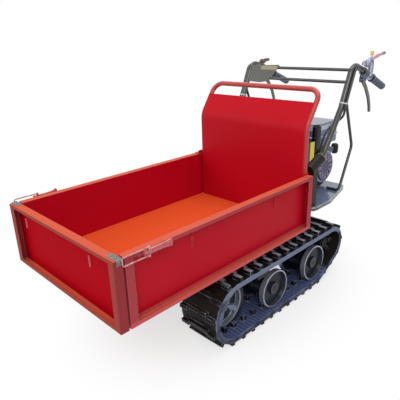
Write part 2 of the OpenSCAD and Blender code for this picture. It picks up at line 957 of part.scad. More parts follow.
module drive_sprocket_right() {
    mirror([1, 0, 0])
        drive_sprocket();
}

module gearbox() {
    c = [sprocket_y, sprocket_z];
    color(dark)
        difference() {
            union() {
                xcyl(-box_x, box_x, c, 150);
                translate([-rail_in, c[0] - 58, c[1]])
                    cube([2 * rail_in, 120, rail_top - 5 - c[1]]);
                translate([-box_top_x, box_pulley_y - 36, rail_top - 6])
                    cube([2 * box_top_x, 66, box_pulley_z + 30 - rail_top]);
            }
            both()
                xcyl(box_x - 20, rail_out, c, half_shaft_d + 2 * fit_gap);
            xcyl(-box_top_x - 25, -shaft_in, [box_pulley_y, box_pulley_z], shaft_d + 2 * fit_gap);
        }
}

function platform_pts() =
    let (w = arm_x + 31, v = arm_x - 25, a = tray_l + 46, b = tray_l + 198, c = tray_l + 432)
    [[-w, a], [w, a], [w, b], [v, c], [-v, c], [-w, b]];

module engine_platform() {
    lip = 16;
    color(dark)
        difference() {
            union() {
                translate([0, 0, platform_z - lip])
                    linear_extrude(lip)
                        polygon(round_poly(platform_pts(), 36));
                translate([pulley_x - 30, tens_y - 15, platform_z - 1])
                    cube([8, 30, 42]);
                xcyl(pulley_x - 24, pulley_x - 6, [tens_y, tens_z], tens_pin_d);
            }
            translate([0, 0, platform_z - lip - 1])
                linear_extrude(lip - platform_t + 1)
                    polygon(round_poly(inset(platform_pts(), 4), 32));
            translate([pulley_x - 18, box_pulley_y - 50, platform_z - lip - 1])
                cube([36, 150, lip + 2]);
        }
}

module crankcase() {
    c = cos(cyl_tilt);
    s = sin(cyl_tilt);
    f = [crank_y - c * cyl_face, crank_z + s * cyl_face];
    hi = f + [s, c] * cyl_half;
    lo = f - [s, c] * cyl_half;
    color(steel)
        difference() {
            yz(case_x0, case_x1)
                polygon([
                    [lo[0] + 4, platform_z], [crank_y + 76, platform_z], [crank_y + 76, crank_z + 34],
                    [crank_y + 30, case_top], hi, lo
                ]);
            xcyl(case_x0 - 1, case_x0 + 20, [crank_y, crank_z], shaft_d + 2 * fit_gap);
        }
}

module cylinder_head() {
    color(steel)
        translate([0, crank_y, crank_z])
            rotate([-cyl_tilt, 0, 0]) {
                translate([-44, -190, -44])
                    cube([88, 190 - cyl_face, 88]);
                for (k = [0:6])
                    translate([-58, -cyl_face - 16 - k * 14, -56])
                        cube([116, 5, 112]);
                translate([-38, -208, -38])
                    cube([76, 20, 76]);
            }
}

module fan_shroud() {
    color(black)
        difference() {
            union() {
                xcyl(case_x1, shroud_x1, [crank_y, crank_z], 2 * shroud_r);
                translate([case_x1, crank_y - 52, crank_z])
                    cube([shroud_x1 - case_x1, 104, tank_z0 - crank_z]);
            }
            xcyl(case_x1 - 1, shroud_x1 - 3, [crank_y, crank_z], 2 * shroud_r - 6);
        }
}

module recoil_cover() {
    p = [crank_y, crank_z];
    color(black)
        difference() {
            union() {
                xcyl(shroud_x1, recoil_x1 - 8, p, 2 * recoil_r);
                xcyl(recoil_x1 - 9, recoil_x1, p, 2 * recoil_r - 26);
                translate([shroud_x1, crank_y + 40, crank_z + 60])
                    cube([20, 34, 24]);
            }
            for (k = [0:11])
                translate([recoil_x1 - 14, p[0], p[1]])
                    rotate([30 * k + 15, 0, 0])
                        translate([0, -5, 34])
                            cube([20, 10, 24]);
            translate([shroud_x1 + 10, crank_y + 20, crank_z + 72])
                rotate([-90, 0, 0])
                    cylinder(h = 60, d = 6);
        }
}

module starter_rope() {
    color(steel)
        translate([shroud_x1 + 10, crank_y + 24, crank_z + 72])
            rotate([-90, 0, 0])
                cylinder(h = 54.5, d = 4.4);
}

module starter_handle() {
    p = [shroud_x1 + 10, crank_y + 74.5, crank_z + 72];
    color(black)
        difference() {
            union() {
                translate(p)
                    rotate([-90, 0, 0])
                        cylinder(h = 22, d = 16);
                translate([p[0], p[1] + 32, p[2] - 4])
                    rotate_extrude()
                        polygon([[0, -24], [12, -24], [17, -16], [17, 16], [12, 24], [0, 24]]);
            }
            translate([p[0], p[1] - 1, p[2]])
                rotate([-90, 0, 0])
                    cylinder(h = 5, d = 4.6);
        }
}

tank_x0 = -15;
tank_y = [crank_y - 100, crank_y + 91];
tank_pts = [[tank_x0, tank_y[0]], [recoil_x1, tank_y[0]], [recoil_x1, tank_y[1]], [tank_x0, tank_y[1]]];
tank_wall = 3;
cap_x = 70;
cap_y = crank_y - 4;

module fuel_tank() {
    color(dark)
        difference() {
            union() {
                translate([0, 0, tank_z0])
                    linear_extrude(tank_z1 - tank_z0 - 8)
                        polygon(round_poly(tank_pts, 18));
                translate([0, 0, tank_z1 - 9])
                    linear_extrude(9)
                        polygon(round_poly(inset(tank_pts, 7), 16));
                translate([0, 0, tank_z0 + 34])
                    linear_extrude(6)
                        polygon(round_poly(inset(tank_pts, -4), 20));
                translate([0, crank_y - 30, case_top])
                    cube([40, 56, tank_z0 - case_top + 1]);
            }
            translate([0, 0, tank_z0 + tank_wall])
                linear_extrude(tank_z1 - tank_z0 - 8 - tank_wall)
                    polygon(round_poly(inset(tank_pts, 10), 12));
            translate([cap_x, cap_y, tank_z1 - 20])
                cylinder(h = 30, r = 20);
        }
}

module fuel_cap() {
    color(black)
        translate([cap_x, cap_y, tank_z1 + 0.3])
            difference() {
                cylinder(h = 20, r = 29);
                for (k = [0:11])
                    rotate(30 * k)
                        translate([30, 0, -1])
                            cylinder(h = 22, r = 4);
            }
}

muffler_x0 = 66;
muffler_y = [crank_y - 226, crank_y - 154];
muffler_z = [crank_z + 18, crank_z + 158];
port_y = crank_y - 164;
muffler_pts = [for (q = [[0, 0], [1, 0], [1, 1], [0, 1]]) [muffler_y[q[0]], muffler_z[q[1]]]];

module muffler() {
    color(black)
        difference() {
            union() {
                yz(muffler_x0, recoil_x1)
                    polygon(round_poly(muffler_pts, 14));
                xcyl(cyl_half, muffler_x0 + 4, [port_y, crank_z + 70], 26);
            }
            yz(muffler_x0 + 3, recoil_x1 - 3)
                polygon(round_poly(inset(muffler_pts, 3), 11));
            // outlet in the rear face
            translate([recoil_x1 - 40, port_y, crank_z + 124])
                rotate([-90, 0, 0])
                    cylinder(h = 20, d = 18);
        }
}

cleaner_y = [crank_y - 228, crank_y - 126];
cleaner_z = [crank_z + 106, crank_z + 206];
cleaner_pts = [for (q = [[0, 0], [1, 0], [1, 1], [0, 1]]) [cleaner_y[q[0]], cleaner_z[q[1]]]];

module air_cleaner() {
    color(black) {
        yz(-cyl_half - 92, -cyl_half - 4)
            polygon(round_poly(cleaner_pts, 16));
        translate([-cyl_half - 46, cleaner_y[0] + 44, cleaner_z[0] - 52])
            cube([46, 50, 53]);
    }
}

flange_t = 2;
flange_up = 7;

// a flat-bottomed belt pulley between two flanges, on its shaft
module pulley(p, r, shaft_end) {
    w = pulley_w / 2;
    color(steel) {
        xcyl(pulley_x - w, pulley_x + w, p, 2 * r);
        xcyl(pulley_x - w - flange_t, pulley_x - w, p, 2 * (r + flange_up));
        xcyl(pulley_x + w, pulley_x + w + flange_t, p, 2 * (r + flange_up));
        xcyl(pulley_x, shaft_end, p, shaft_d);
    }
}

module crank_pulley() {
    pulley([crank_y, crank_z], crank_pulley_r, case_x0 + 18);
}

module gearbox_pulley() {
    pulley([box_pulley_y, box_pulley_z], box_pulley_r, -shaft_in - 2);
}

// outline of the drive belt, drawn out from the pulleys by e
function vbelt_pts(e) =
    let (
        a = [crank_y, crank_z],
        b = [box_pulley_y, box_pulley_z],
        ra = crank_pulley_r + vbelt_gap + e,
        rb = box_pulley_r + vbelt_gap + e,
        d = b - a,
        f = atan2(d[1], d[0]),
        h = acos((ra - rb) / norm(d))
    )
    concat(arc_pts(a, ra, f + h, f + 360 - h, 20), arc_pts(b, rb, f - h, f + h, 20));

module drive_belt() {
    color(black)
        yz(pulley_x - pulley_w / 2 + 1, pulley_x + pulley_w / 2 - 1)
            difference() {
                polygon(vbelt_pts(vbelt_t));
                polygon(vbelt_pts(0.4));
            }
}

module tension_arm() {
    p = [tens_y, tens_z];
    q = p + tens_arm;
    color(steel)
        difference() {
            union() {
                yz(pulley_x - 21, pulley_x - 15)
                    flat_path([p, q], [24, 24]);
                xcyl(pulley_x - 16, pulley_x + pulley_w / 2 - 1, q, 2 * tens_r);
            }
            xcyl(pulley_x - 40, pulley_x - 4, p, tens_pin_d + 2 * fit_gap);
        }
}

function on_arm(q) = [arm_x, q[0], q[1]];

// an upright of square tube with a round sleeve on top, which holds the end of an arm
module handle_post() {
    w = upright_w;
    top = arm_a[1] - 8 - platform_z;
    difference() {
        union() {
            translate([arm_x - w / 2, post_y - w / 2, platform_z])
                cube([w, w, top]);
            translate(on_arm(arm_a))
                rotate([socket_a - 90, 0, 0])
                    translate([0, 0, -socket_plug])
                        cylinder(h = socket_l + socket_plug, d = socket_d);
        }
        translate([arm_x - w / 2 + tube_wall, post_y - w / 2 + tube_wall, platform_z - 1])
            cube([w - 2 * tube_wall, w - 2 * tube_wall, top - 55]);
        translate(on_arm(arm_a))
            rotate([socket_a - 90, 0, 0])
                cylinder(h = socket_l + 60, d = arm_d + 2 * fit_gap);
    }
}

module handle_posts() {
    color(dark)
        both()
            handle_post();
}

module handle_arm() {
    color(dark)
        bent(
            [for (q = [arm_a, arm_b, arm_c, arm_e, arm_end]) on_arm(q)],
            arm_d,
            [0, 70, 100, arm_bend_r, 0]
        );
}

module handle_arm_left() {
    handle_arm();
}

module handle_arm_right() {
    mirror([1, 0, 0])
        handle_arm();
}

module arm_upper_cut() {
    both()
        bent([for (q = [arm_c, arm_e, arm_end]) on_arm(q)], arm_d, [0, arm_bend_r, 0]);
}

module crossbars() {
    color(dark)
        difference() {
            for (p = cross_p)
                xcyl(-arm_x, arm_x, p, cross_d);
            arm_upper_cut();
        }
}

module brace_rods() {
    q = brace_p;
    color(dark)
        difference() {
            both()
                bent(
                    [on_arm(q[0]), on_arm(q[1]), on_arm(q[2]), on_arm(q[2]) - [62, 0, 0]],
                    brace_d,
                    [0, 40, 14, 0]
                );
            arm_upper_cut();
        }
}

// turns +Y to run along a grip, with its origin on the arm at s
module on_grip(s) {
    q = gp(s, 0);
    translate([arm_x, q[0], q[1]])
        rotate([-grip_tilt, 0, 0])
            children();
}

module along_y(l, d) {
    rotate([-90, 0, 0])
        cylinder(h = l, d = d);
}

module grips() {
    color(black)
        both()
            on_grip(grip_end_s - grip_l)
                difference() {
                    union() {
                        along_y(grip_l, grip_d - 4);
                        for (k = [0:5])
                            translate([0, 12 + k * 22, 0])
                                along_y(12, grip_d);
                        translate([0, grip_l - 5, 0])
                            along_y(5, grip_d);
                        along_y(5, grip_d + 6);
                    }
                    translate([0, -1, 0])
                        along_y(grip_l - 2, arm_d + 2 * fit_gap);
                }
}

module lever_perches() {
    color(black)
        both()
            difference() {
                union() {
                    on_grip(107)
                        along_y(36, arm_d + 12);
                    yz(arm_x - 11, arm_x + 11) {
                        flat_path([gp(125, -10), steer_p], [28, 22]);
                    }
                }
                on_grip(100)
                    along_y(50, arm_d + 2 * fit_gap);
                yz(arm_x - lever_t / 2 - 0.5, arm_x + lever_t / 2 + 0.5)
                    translate(steer_p)
                        circle(d = 34);
                yz(arm_x - lever_t / 2 - 0.5, arm_x + lever_t / 2 + 0.5)
                    strip(steer_p, steer_p + [80, -40], 34);
            }
    color(black)
        both()
            xcyl(arm_x - 10, arm_x + 10, steer_p, pin_d);
}

module steering_lever() {
    p = steer_p;
    color(steel)
        difference() {
            yz(arm_x - lever_t / 2, arm_x + lever_t / 2)
                flat_path(
                    [p, p + [38, -34], p + [76, -84], p + [94, -126], p + [100, -150]],
                    [18, 17, 16, 15, 15]
                );
            xcyl(arm_x - 20, arm_x + 20, p, pin_d + 2 * fit_gap);
        }
}

module steering_lever_left() {
    steering_lever();
}

module steering_lever_right() {
    mirror([1, 0, 0])
        steering_lever();
}

module clutch_perch() {
    x0 = arm_x + lever_t / 2 + 1;
    c = gp(166, 0);
    top = knob_z - 10;
    color(steel)
        difference() {
            union() {
                on_grip(150)
                    along_y(32, arm_d + 12);
                yz(x0, x0 + 9)
                    polygon([
                        clutch_p + [-12, -9], clutch_p + [-9, 11], clutch_p + [20, 14], [c[0] - 12, top],
                        [c[0] + 14, top], [c[0] + 22, top - 40], [c[0] + 18, c[1]], [c[0] - 8, c[1]],
                        [c[0] - 14, top - 48]
                    ]);
                xcyl(x0 - lever_t - 2, x0 + 1, clutch_p, pin_d);
            }
            on_grip(140)
                along_y(60, arm_d + 2 * fit_gap);
            translate([x0 + 4.5, c[0] + 1, top - 16])
                cylinder(h = 30, d = 5 + 2 * fit_gap);
        }
}

module lock_knob() {
    c = gp(166, 0);
    color([0.85, 0.75, 0.15])
        translate([arm_x + lever_t / 2 + 5.5, c[0] + 1, 0]) {
            translate([0, 0, knob_z - 18])
                cylinder(h = 20, d = 5);
            translate([0, 0, knob_z - 2])
                cylinder(h = 18, d = 16);
        }
}

module clutch_lever() {
    p = clutch_p;
    u = [cos(9), sin(9)];
    color(red)
        difference() {
            yz(arm_x - lever_t / 2, arm_x + lever_t / 2)
                flat_path([p, p + u * 60, p + u * 150 + [0, 4], p + u * 212 + [0, 2]], [16, 13, 11, 13]);
            xcyl(arm_x - 20, arm_x + 20, p, pin_d + 2 * fit_gap);
        }
}

module throttle_housing() {
    p = throttle_p;
    x0 = -arm_x - lever_t / 2 - 1;
    color(dark)
        difference() {
            union() {
                mirror([1, 0, 0])
                    on_grip(74)
                        along_y(30, arm_d + 12);
                yz(x0 - 12, x0)
                    flat_path([gp(88, 4), p], [30, 26]);
                xcyl(x0 - 1, x0 + lever_t + 2, p, pin_d);
            }
            mirror([1, 0, 0])
                on_grip(60)
                    along_y(60, arm_d + 2 * fit_gap);
        }
}

module throttle_lever() {
    p = throttle_p;
    color(steel)
        difference() {
            yz(-arm_x - lever_t / 2, -arm_x + lever_t / 2)
                flat_path([p, p + [18, 8], p + [40, 8]], [18, 15, 14]);
            xcyl(-arm_x - 20, -arm_x + 20, p, pin_d + 2 * fit_gap);
        }
}

// turns X and Y of a flat shape to run along the crossbars and up the arms
module on_crossbars() {
    translate([0, cross_p[1][0], cross_p[1][1]])
        rotate([arm_slope, 0, 0])
            children();
}

// a sheet panel on two saddles in front of the crossbars, beside the right arm
module console_plate() {
    x0 = -arm_x + arm_r + 1;
    pitch = norm(cross_p[0] - cross_p[1]);
    z0 = cross_d / 2;
    color(dark)
        on_crossbars()
            difference() {
                union() {
                    translate([0, 0, z0])
                        linear_extrude(3)
                            polygon([
                                [x0, -22], [x0 + 74, -25], [x0 + 109, -19], [x0 + 126, -8], [x0 + 146, 18],
                                [x0 + 157, 39], [x0 + 171, 58], [x0 + 166, 66], [x0, 60]
                            ]);
                    for (h = [0, pitch])
                        translate([x0 + 20, h - 11, 0])
                            cube([34, 22, z0 + eps]);
                }
                for (h = [0, pitch])
                    translate([x0, h, 0])
                        rotate([0, 90, 0])
                            cylinder(h = 100, d = cross_d);
            }
}

// a cable rises from the platform behind its arm and follows the arm's outer face to the controls
cable_o = arm_r + cable_d / 2 + 0.3;
cable_x = arm_x + cable_o;
cable_rise = [
    [-52, 90, 0.5], [-51, 100, 30], [-48, 112, 70], [-44, 120, 120], [-40, 128, 180], [-35, 136, 230],
    [-31, 148, 276], [-25, 167, 308], [-17, 196, 331], [1, 215, 348], [15, 224, 370]
];
cable_bend = [
    [-17, -42], [-14, -35], [-8, -27], [-1, -21], [7, -17], [16, -15], [25, -14], [34, -15]
];
function cable_path(s) = concat(
    [for (q = cable_rise) [arm_x, arm_a[0], platform_z] + q],
    [[cable_x, arm_c[0], arm_c[1]]],
    [for (h = [152, 102, 62]) let (q = arm_at(arm_e[1] - h)) [cable_x, q[0], q[1]]],
    [for (q = cable_bend) [cable_x, arm_e[0] + q[0], arm_e[1] + q[1]]],
    [for (k = [48, s]) [cable_x, gp(k, 0)[0], gp(k, 0)[1]]]
);

module control_cables() {
    color(black) {
        swept(cable_path(106), cable_d);
        mirror([1, 0, 0])
            swept(cable_path(73), cable_d);
    }
}

module tie_2d() {
    difference() {
        union() {
            circle(d = arm_d + 3);
            translate([cable_o, 0])
                circle(d = cable_d + 3);
        }
        circle(d = arm_d);
        translate([cable_o, 0])
            circle(d = cable_d + 0.4);
    }
}

module cable_ties() {
    q = arm_at(arm_e[1] - 164);
    color([0.8, 0.78, 0.72])
        both()
            translate([arm_x, q[0], q[1]])
                rotate([arm_slope - 90, 0, 0])
                    translate([0, 0, -3])
                        linear_extrude(6)
                            tie_2d();
}

// hexagon heads that hold the platform on its risers
module frame_bolts() {
    color(steel)
        both()
            for (y = [riser_y[0] - 2, riser_y[1] - 14])
                translate([rail_x, y, platform_z])
                    cylinder(h = 6, d = 18, $fn = 6);
}

// the node to draw, or all of them

placed() tray_floor();
placed() tray_subframe();
placed() headboard_sheet();
placed() headboard_tube();
placed() gate();
placed() gate_hooks();
placed() side_panel_left();
placed() side_panel_right();
placed() latch_lever_left();
placed() latch_lever_right();
placed() latch_bail_left();
placed() latch_bail_right();
placed() chassis_frame();
placed() cross_tubes_and_ears();
placed() tray_pivot_pin();
placed() idler_yokes();
placed() track_belt_left();
placed() track_belt_right();
placed() front_idler_left();
placed() front_idler_right();
placed() road_wheel_front_left();
placed() road_wheel_rear_left();
placed() road_wheel_front_right();
placed() road_wheel_rear_right();
placed() drive_sprocket_left();
placed() drive_sprocket_right();
placed() gearbox();
placed() engine_platform();
placed() crankcase();
placed() cylinder_head();
placed() fan_shroud();
placed() recoil_cover();
placed() starter_rope();
placed() starter_handle();
placed() fuel_tank();
placed() fuel_cap();
placed() muffler();
placed() air_cleaner();
placed() crank_pulley();
placed() gearbox_pulley();
placed() drive_belt();
placed() tension_arm();
placed() handle_posts();
placed() handle_arm_left();
placed() handle_arm_right();
placed() crossbars();
placed() brace_rods();
placed() grips();
placed() lever_perches();
placed() steering_lever_left();
placed() steering_lever_right();
placed() clutch_perch();
placed() lock_knob();
placed() clutch_lever();
placed() throttle_housing();
placed() throttle_lever();
placed() console_plate();
placed() control_cables();
placed() cable_ties();
placed() frame_bolts();
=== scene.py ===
# %% [markdown]
# A tracked power carrier, dressed. The steel, the tracks, the engine and the controls come from the
# CAD frame at their real size. This lesson gives each of them the finish of the real machine, adds
# the cables and small fittings, and stands it on a pale floor in soft studio light.

# %% Load the frame
import math

import bmesh
import bpy
from mathutils import Matrix, Vector


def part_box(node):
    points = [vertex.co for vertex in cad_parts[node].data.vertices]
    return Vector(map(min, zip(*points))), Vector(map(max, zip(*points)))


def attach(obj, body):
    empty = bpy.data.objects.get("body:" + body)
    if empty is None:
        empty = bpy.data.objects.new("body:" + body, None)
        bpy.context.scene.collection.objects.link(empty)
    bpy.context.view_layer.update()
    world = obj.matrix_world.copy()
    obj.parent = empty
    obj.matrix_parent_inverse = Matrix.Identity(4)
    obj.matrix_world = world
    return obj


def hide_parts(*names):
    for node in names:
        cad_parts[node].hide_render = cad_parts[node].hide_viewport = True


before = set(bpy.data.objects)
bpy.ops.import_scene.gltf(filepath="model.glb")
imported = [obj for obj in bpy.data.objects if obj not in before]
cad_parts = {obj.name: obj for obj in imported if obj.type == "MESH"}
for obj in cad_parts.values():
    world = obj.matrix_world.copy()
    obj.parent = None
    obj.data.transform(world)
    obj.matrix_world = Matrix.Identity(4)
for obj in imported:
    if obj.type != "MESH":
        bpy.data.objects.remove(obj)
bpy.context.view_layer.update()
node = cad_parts
MM = 0.001
SIDES = (("left", 1), ("right", -1))

# %% [markdown]
# The camera stands where the photographer stood: to the machine's front left, a little above the
# bed. A camera can be aimed at a point by a constraint. Here its place and its three axes were worked
# out from the straight edges of the bed, which also gives its slight roll, so they are written as
# numbers.

# %% Camera
eye = Vector((1.2194, -1.3695, 1.1106))
right = Vector((0.70545, 0.70812, -0.03026))
up = Vector((-0.22839, 0.26752, 0.93609))
back = Vector((0.67096, -0.65345, 0.35045))
focal_px, image_px, sensor_mm = 436.0, 400.0, 36.0

camera = bpy.data.objects.new("camera", bpy.data.cameras.new("camera"))
camera.data.sensor_width = sensor_mm
camera.data.lens = sensor_mm * focal_px / image_px
axes = Matrix((right, up, back)).transposed().to_4x4()
camera.matrix_world = Matrix.Translation(eye) @ axes
bpy.context.scene.collection.objects.link(camera)
bpy.context.scene.camera = camera
print("lens", round(camera.data.lens, 2), "mm")

# %% [markdown]
# A control cable is a steel wire in a plastic jacket, ten millimetres thick with its sleeve. It
# rises from the engine platform behind the handlebar's arm, is tied to the arm, and ends in the
# lever's housing on the grip. These are points on its route, for the left side. The part's source
# gives them in millimetres from the gate's front, and one function brings them into the frame.

# %% Route of the control cables
gate_front_mm = 828.1208
rise = [(228, 1120, 400.5), (229, 1130, 430), (232, 1142, 470), (236, 1150, 520),
        (240, 1158, 580), (245, 1166, 630), (249, 1178, 676), (255, 1197, 708),
        (263, 1226, 731), (281, 1245, 748), (295, 1254, 770), (298.3, 1256, 800)]
beside_arm = [(298.3, 1268.53, 830), (298.3, 1289.41, 880), (298.3, 1306.11, 920),
              (298.3, 1315, 940), (298.3, 1318, 947), (298.3, 1324, 955), (298.3, 1331, 961),
              (298.3, 1339, 965), (298.3, 1348, 967), (298.3, 1357, 968), (298.3, 1366, 967)]
along_grip = {"left": [(298.3, 1376.63, 964.33), (298.3, 1430.56, 942.98)],
              "right": [(298.3, 1376.63, 964.33), (298.3, 1399.87, 955.13)]}


def in_frame(x, y, z):
    return Vector((x, y - gate_front_mm, z)) * MM


print("points on the left cable", len(rise + beside_arm + along_grip["left"]))

# %% [markdown]
# In the CAD a cable is a tube of straight pieces. A chain of cylinders would show every joint, so
# here it is one smooth curve through the same points, with a round bevel. The bevel's radius is one
# metre, and each point's own radius brings it down to the cable's.

# %% Control cables
def cord_curve(name, points, diameter):
    line = bpy.data.curves.new(name, "CURVE")
    line.dimensions = "3D"
    line.bevel_depth = 1.0
    line.bevel_resolution = 5
    line.use_fill_caps = True
    spline = line.splines.new("BEZIER")
    spline.bezier_points.add(len(points) - 1)
    for knot, point in zip(spline.bezier_points, points):
        knot.co = point
        knot.radius = diameter / 2
        knot.handle_left_type = knot.handle_right_type = "AUTO"
    piece = bpy.data.objects.new(name, line)
    bpy.context.scene.collection.objects.link(piece)
    bpy.context.view_layer.update()
    return piece, spline.calc_length()


cable_d = 10 * MM
cables = []
for side, sign in SIDES:
    route = [in_frame(sign * x, y, z) for x, y, z in rise + beside_arm + along_grip[side]]
    cable, length = cord_curve("control_cable_" + side, route, cable_d)
    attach(cable, "carrier")
    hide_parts("control_cables")
    cables.append(cable)
    print("cable", side, round(length, 3), "m")

# %% [markdown]
# The starter rope is a braided cord that comes out of the recoil cover and is knotted inside its
# handle. Only its first few centimetres show until someone pulls it. It is a curve like the cables,
# so it can be re-routed by moving a few points.

# %% Starter rope
rope_d, rope_steps = 4.4 * MM, 5
rope_low, rope_high = (Vector(corner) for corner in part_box("starter_rope"))
rope_mid = (rope_low + rope_high) / 2
rope_reach = rope_high.y - rope_low.y
rope_points = [Vector((rope_mid.x, rope_low.y + rope_reach * k / rope_steps, rope_mid.z))
               for k in range(rope_steps + 1)]
starter_rope, length = cord_curve("starter_rope_braid", rope_points, rope_d)
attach(starter_rope, "starter")
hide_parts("starter_rope")
print("rope", round(length, 4), "m")

# %% [markdown]
# Three helpers carry all the finishes. One turns a written sRGB colour into the linear values that
# a shader works in. One starts an empty material. One adds a node with its settings, and gives each
# input a plain value or a link. A link comes from an output, or from the first one a node has in use.

# %% Helpers for materials
def linear(hex_colour):
    channels = [int(hex_colour[i:i + 2], 16) / 255 for i in (1, 3, 5)]
    return tuple(c / 12.92 if c <= 0.04045 else ((c + 0.055) / 1.055) ** 2.4
                 for c in channels) + (1.0,)


def new_tree(name):
    material = bpy.data.materials.new(name)
    material.use_nodes = True
    material.node_tree.nodes.clear()
    return material, material.node_tree


def add(tree, kind, inputs=None, **settings):
    made = tree.nodes.new(kind)
    for key, value in settings.items():
        setattr(made, key, value)
    for key, value in (inputs or {}).items():
        if isinstance(value, bpy.types.Node):
            value = next(socket for socket in value.outputs if socket.enabled)
        if isinstance(value, bpy.types.NodeSocket):
            tree.links.new(value, made.inputs[key])
        else:
            made.inputs[key].default_value = value
    return made


print("red as written", [round(c, 3) for c in linear("#B00C20")])

# %% [markdown]
# Some finishes stop at a line: a strap across the tank, a pale panel on the console. They could be
# pieces of their own, or pictures wrapped on a surface. A box in space needs neither and stays sharp
# from near by. It gives 1 inside and 0 outside, and is written in millimetres as the part's source
# has it. A ring round the crankshaft's axis works the same way.

# %% Painted boxes and rings
crank_y_mm, crank_z_mm = 1304, 506


def inside_box(tree, place, low, high):
    centre = (in_frame(*low) + in_frame(*high)) / 2
    half = (in_frame(*high) - in_frame(*low)) / 2
    moved = add(tree, "ShaderNodeVectorMath", {0: place.outputs["Object"], 1: centre},
                operation="SUBTRACT")
    scaled = add(tree, "ShaderNodeVectorMath", {0: moved, 1: half}, operation="DIVIDE")
    away = add(tree, "ShaderNodeVectorMath", {0: scaled}, operation="ABSOLUTE")
    x, y, z = add(tree, "ShaderNodeSeparateXYZ", {0: away}).outputs
    wider = add(tree, "ShaderNodeMath", {0: x, 1: y}, operation="MAXIMUM")
    widest = add(tree, "ShaderNodeMath", {0: wider, 1: z}, operation="MAXIMUM")
    return add(tree, "ShaderNodeMath", {0: widest, 1: 1.0}, operation="LESS_THAN")


def on_ring(tree, place, radius_mm, half_mm):
    crank = in_frame(0, crank_y_mm, crank_z_mm)
    moved = add(tree, "ShaderNodeVectorMath", {0: place.outputs["Object"], 1: crank},
                operation="SUBTRACT")
    in_plane = add(tree, "ShaderNodeVectorMath", {0: moved, 1: (0, 1, 1)}, operation="MULTIPLY")
    reach = add(tree, "ShaderNodeVectorMath", {0: in_plane}, operation="LENGTH")
    return add(tree, "ShaderNodeMath", {0: reach, 1: radius_mm * MM, 2: half_mm * MM},
               operation="COMPARE")


print("crankshaft at", [round(v, 4) for v in in_frame(0, crank_y_mm, crank_z_mm)])

# %% [markdown]
# Most of the machine is coated steel, and a coat's tone changes with its place and the way it faces.
# Faces that look up may take a colour of their own, mostly paler, as painted light from above, and so
# may the lip of a frame: the side-facing lips are painted darker as shade and the panels' lower lip
# paler as painted light. This could be painted by hand on each mesh. Worked out from the place and
# the way a face looks, it fits every piece, also after the CAD changes.

# %% Painted light and shade by place and direction
def toned_by_place_and_light(tree, place, paint, lips, lit_top, rings):
    # a lip's colour is set by its distance along one axis; side lips are painted shade, a lower lip
    # painted light
    for axis, near, far, colour in lips:
        spot = add(tree, "ShaderNodeSeparateXYZ", {0: place.outputs["Object"]})
        reach = add(tree, "ShaderNodeMath", {0: spot.outputs[axis]}, operation="ABSOLUTE")
        on_lip = add(tree, "ShaderNodeMapRange",
                     {"Value": reach, "From Min": near, "From Max": far})
        paint = add(tree, "ShaderNodeMix", {0: on_lip, 6: paint, 7: linear(colour)},
                    data_type="RGBA")
    # upward faces take a colour of their own: painted light from above
    if lit_top:
        looks = add(tree, "ShaderNodeSeparateXYZ", {0: place.outputs["Normal"]})
        upward = add(tree, "ShaderNodeMapRange",
                     {"Value": looks.outputs["Z"], "From Min": 0.55, "From Max": 0.95})
        paint = add(tree, "ShaderNodeMix", {0: upward, 6: paint, 7: linear(lit_top)},
                    data_type="RGBA")
    # rings round the crankshaft: painted light and shade on the recoil cover
    for radius_mm, half_mm, colour in rings:
        step = on_ring(tree, place, radius_mm, half_mm)
        paint = add(tree, "ShaderNodeMix", {0: step, 6: paint, 7: linear(colour)},
                    data_type="RGBA")
    return paint


print("weathering ready")

# %% [markdown]
# Where two faces meet, a coat is thin and gets rubbed. The edges could be cut as bevels in every
# mesh, but a Bevel node only rounds the normal, which is enough for the light and costs no faces.
# Where that rounded normal no longer agrees with the face's own, there is an edge, and a patchy
# pattern of scuffs keeps it from being an outline. On some glossy finishes the edge colour is near
# white, and there it is a painted highlight, not wear.

# %% Rubbed edges and painted edge highlights
scuff_mm = 14


def near_edge(tree, rounded, flat_at, worn_at):
    face = add(tree, "ShaderNodeNewGeometry")
    agree = add(tree, "ShaderNodeVectorMath", {0: rounded, 1: face.outputs["Normal"]},
                operation="DOT_PRODUCT")
    return add(tree, "ShaderNodeMapRange",
               {"Value": agree, "From Min": flat_at, "From Max": worn_at})


# the edge colour is wear on most finishes; where it is near white it is a painted highlight
def wear_and_highlight_on_edges(tree, place, rounded, paint, colour):
    scuff = add(tree, "ShaderNodeTexNoise",
                {"Vector": place.outputs["Object"], "Scale": 1 / (scuff_mm * MM), "Detail": 6.0,
                 "Roughness": 0.7})
    patchy = add(tree, "ShaderNodeMapRange",
                 {"Value": scuff, "From Min": 0.36, "From Max": 0.62, "To Min": 0.1})
    edge = near_edge(tree, rounded, flat_at=0.995, worn_at=0.90)
    share = add(tree, "ShaderNodeMath", {0: edge, 1: patchy}, operation="MULTIPLY")
    return add(tree, "ShaderNodeMix", {0: share, 6: paint, 7: linear(colour)}, data_type="RGBA")


print("scuffs are", scuff_mm, "mm across")

# %% [markdown]
# A coat's skin has a fine orange peel that breaks up its gloss, and a big sheet sways a little. Both
# could be displaced faces, but they are far too shallow to be modelled, so they are bumps.

# %% Orange peel and sway
sway_mm = 180


def skin(tree, place, rounded, grain_mm, bump_mm, wave_mm):
    normal = rounded
    sway = [(sway_mm, 1.0, wave_mm)] if wave_mm else []
    for size_mm, detail, height_mm in sway + [(grain_mm, 3.0, bump_mm)]:
        grain = add(tree, "ShaderNodeTexNoise",
                    {"Vector": place.outputs["Object"], "Scale": 1 / (size_mm * MM),
                     "Detail": detail})
        normal = add(tree, "ShaderNodeBump",
                     {"Strength": 1.0, "Distance": height_mm * MM, "Height": grain,
                      "Normal": normal})
    return normal


print("sheets sway over", sway_mm, "mm")

# %% [markdown]
# One function puts colour, wear and skin together. Each finish could have a tree of its own, but most
# differ only in numbers, and those are sizes on the real surface in millimetres.

# %% Coated and moulded surfaces
gloss_change, coat_roughness = 0.07, 0.25


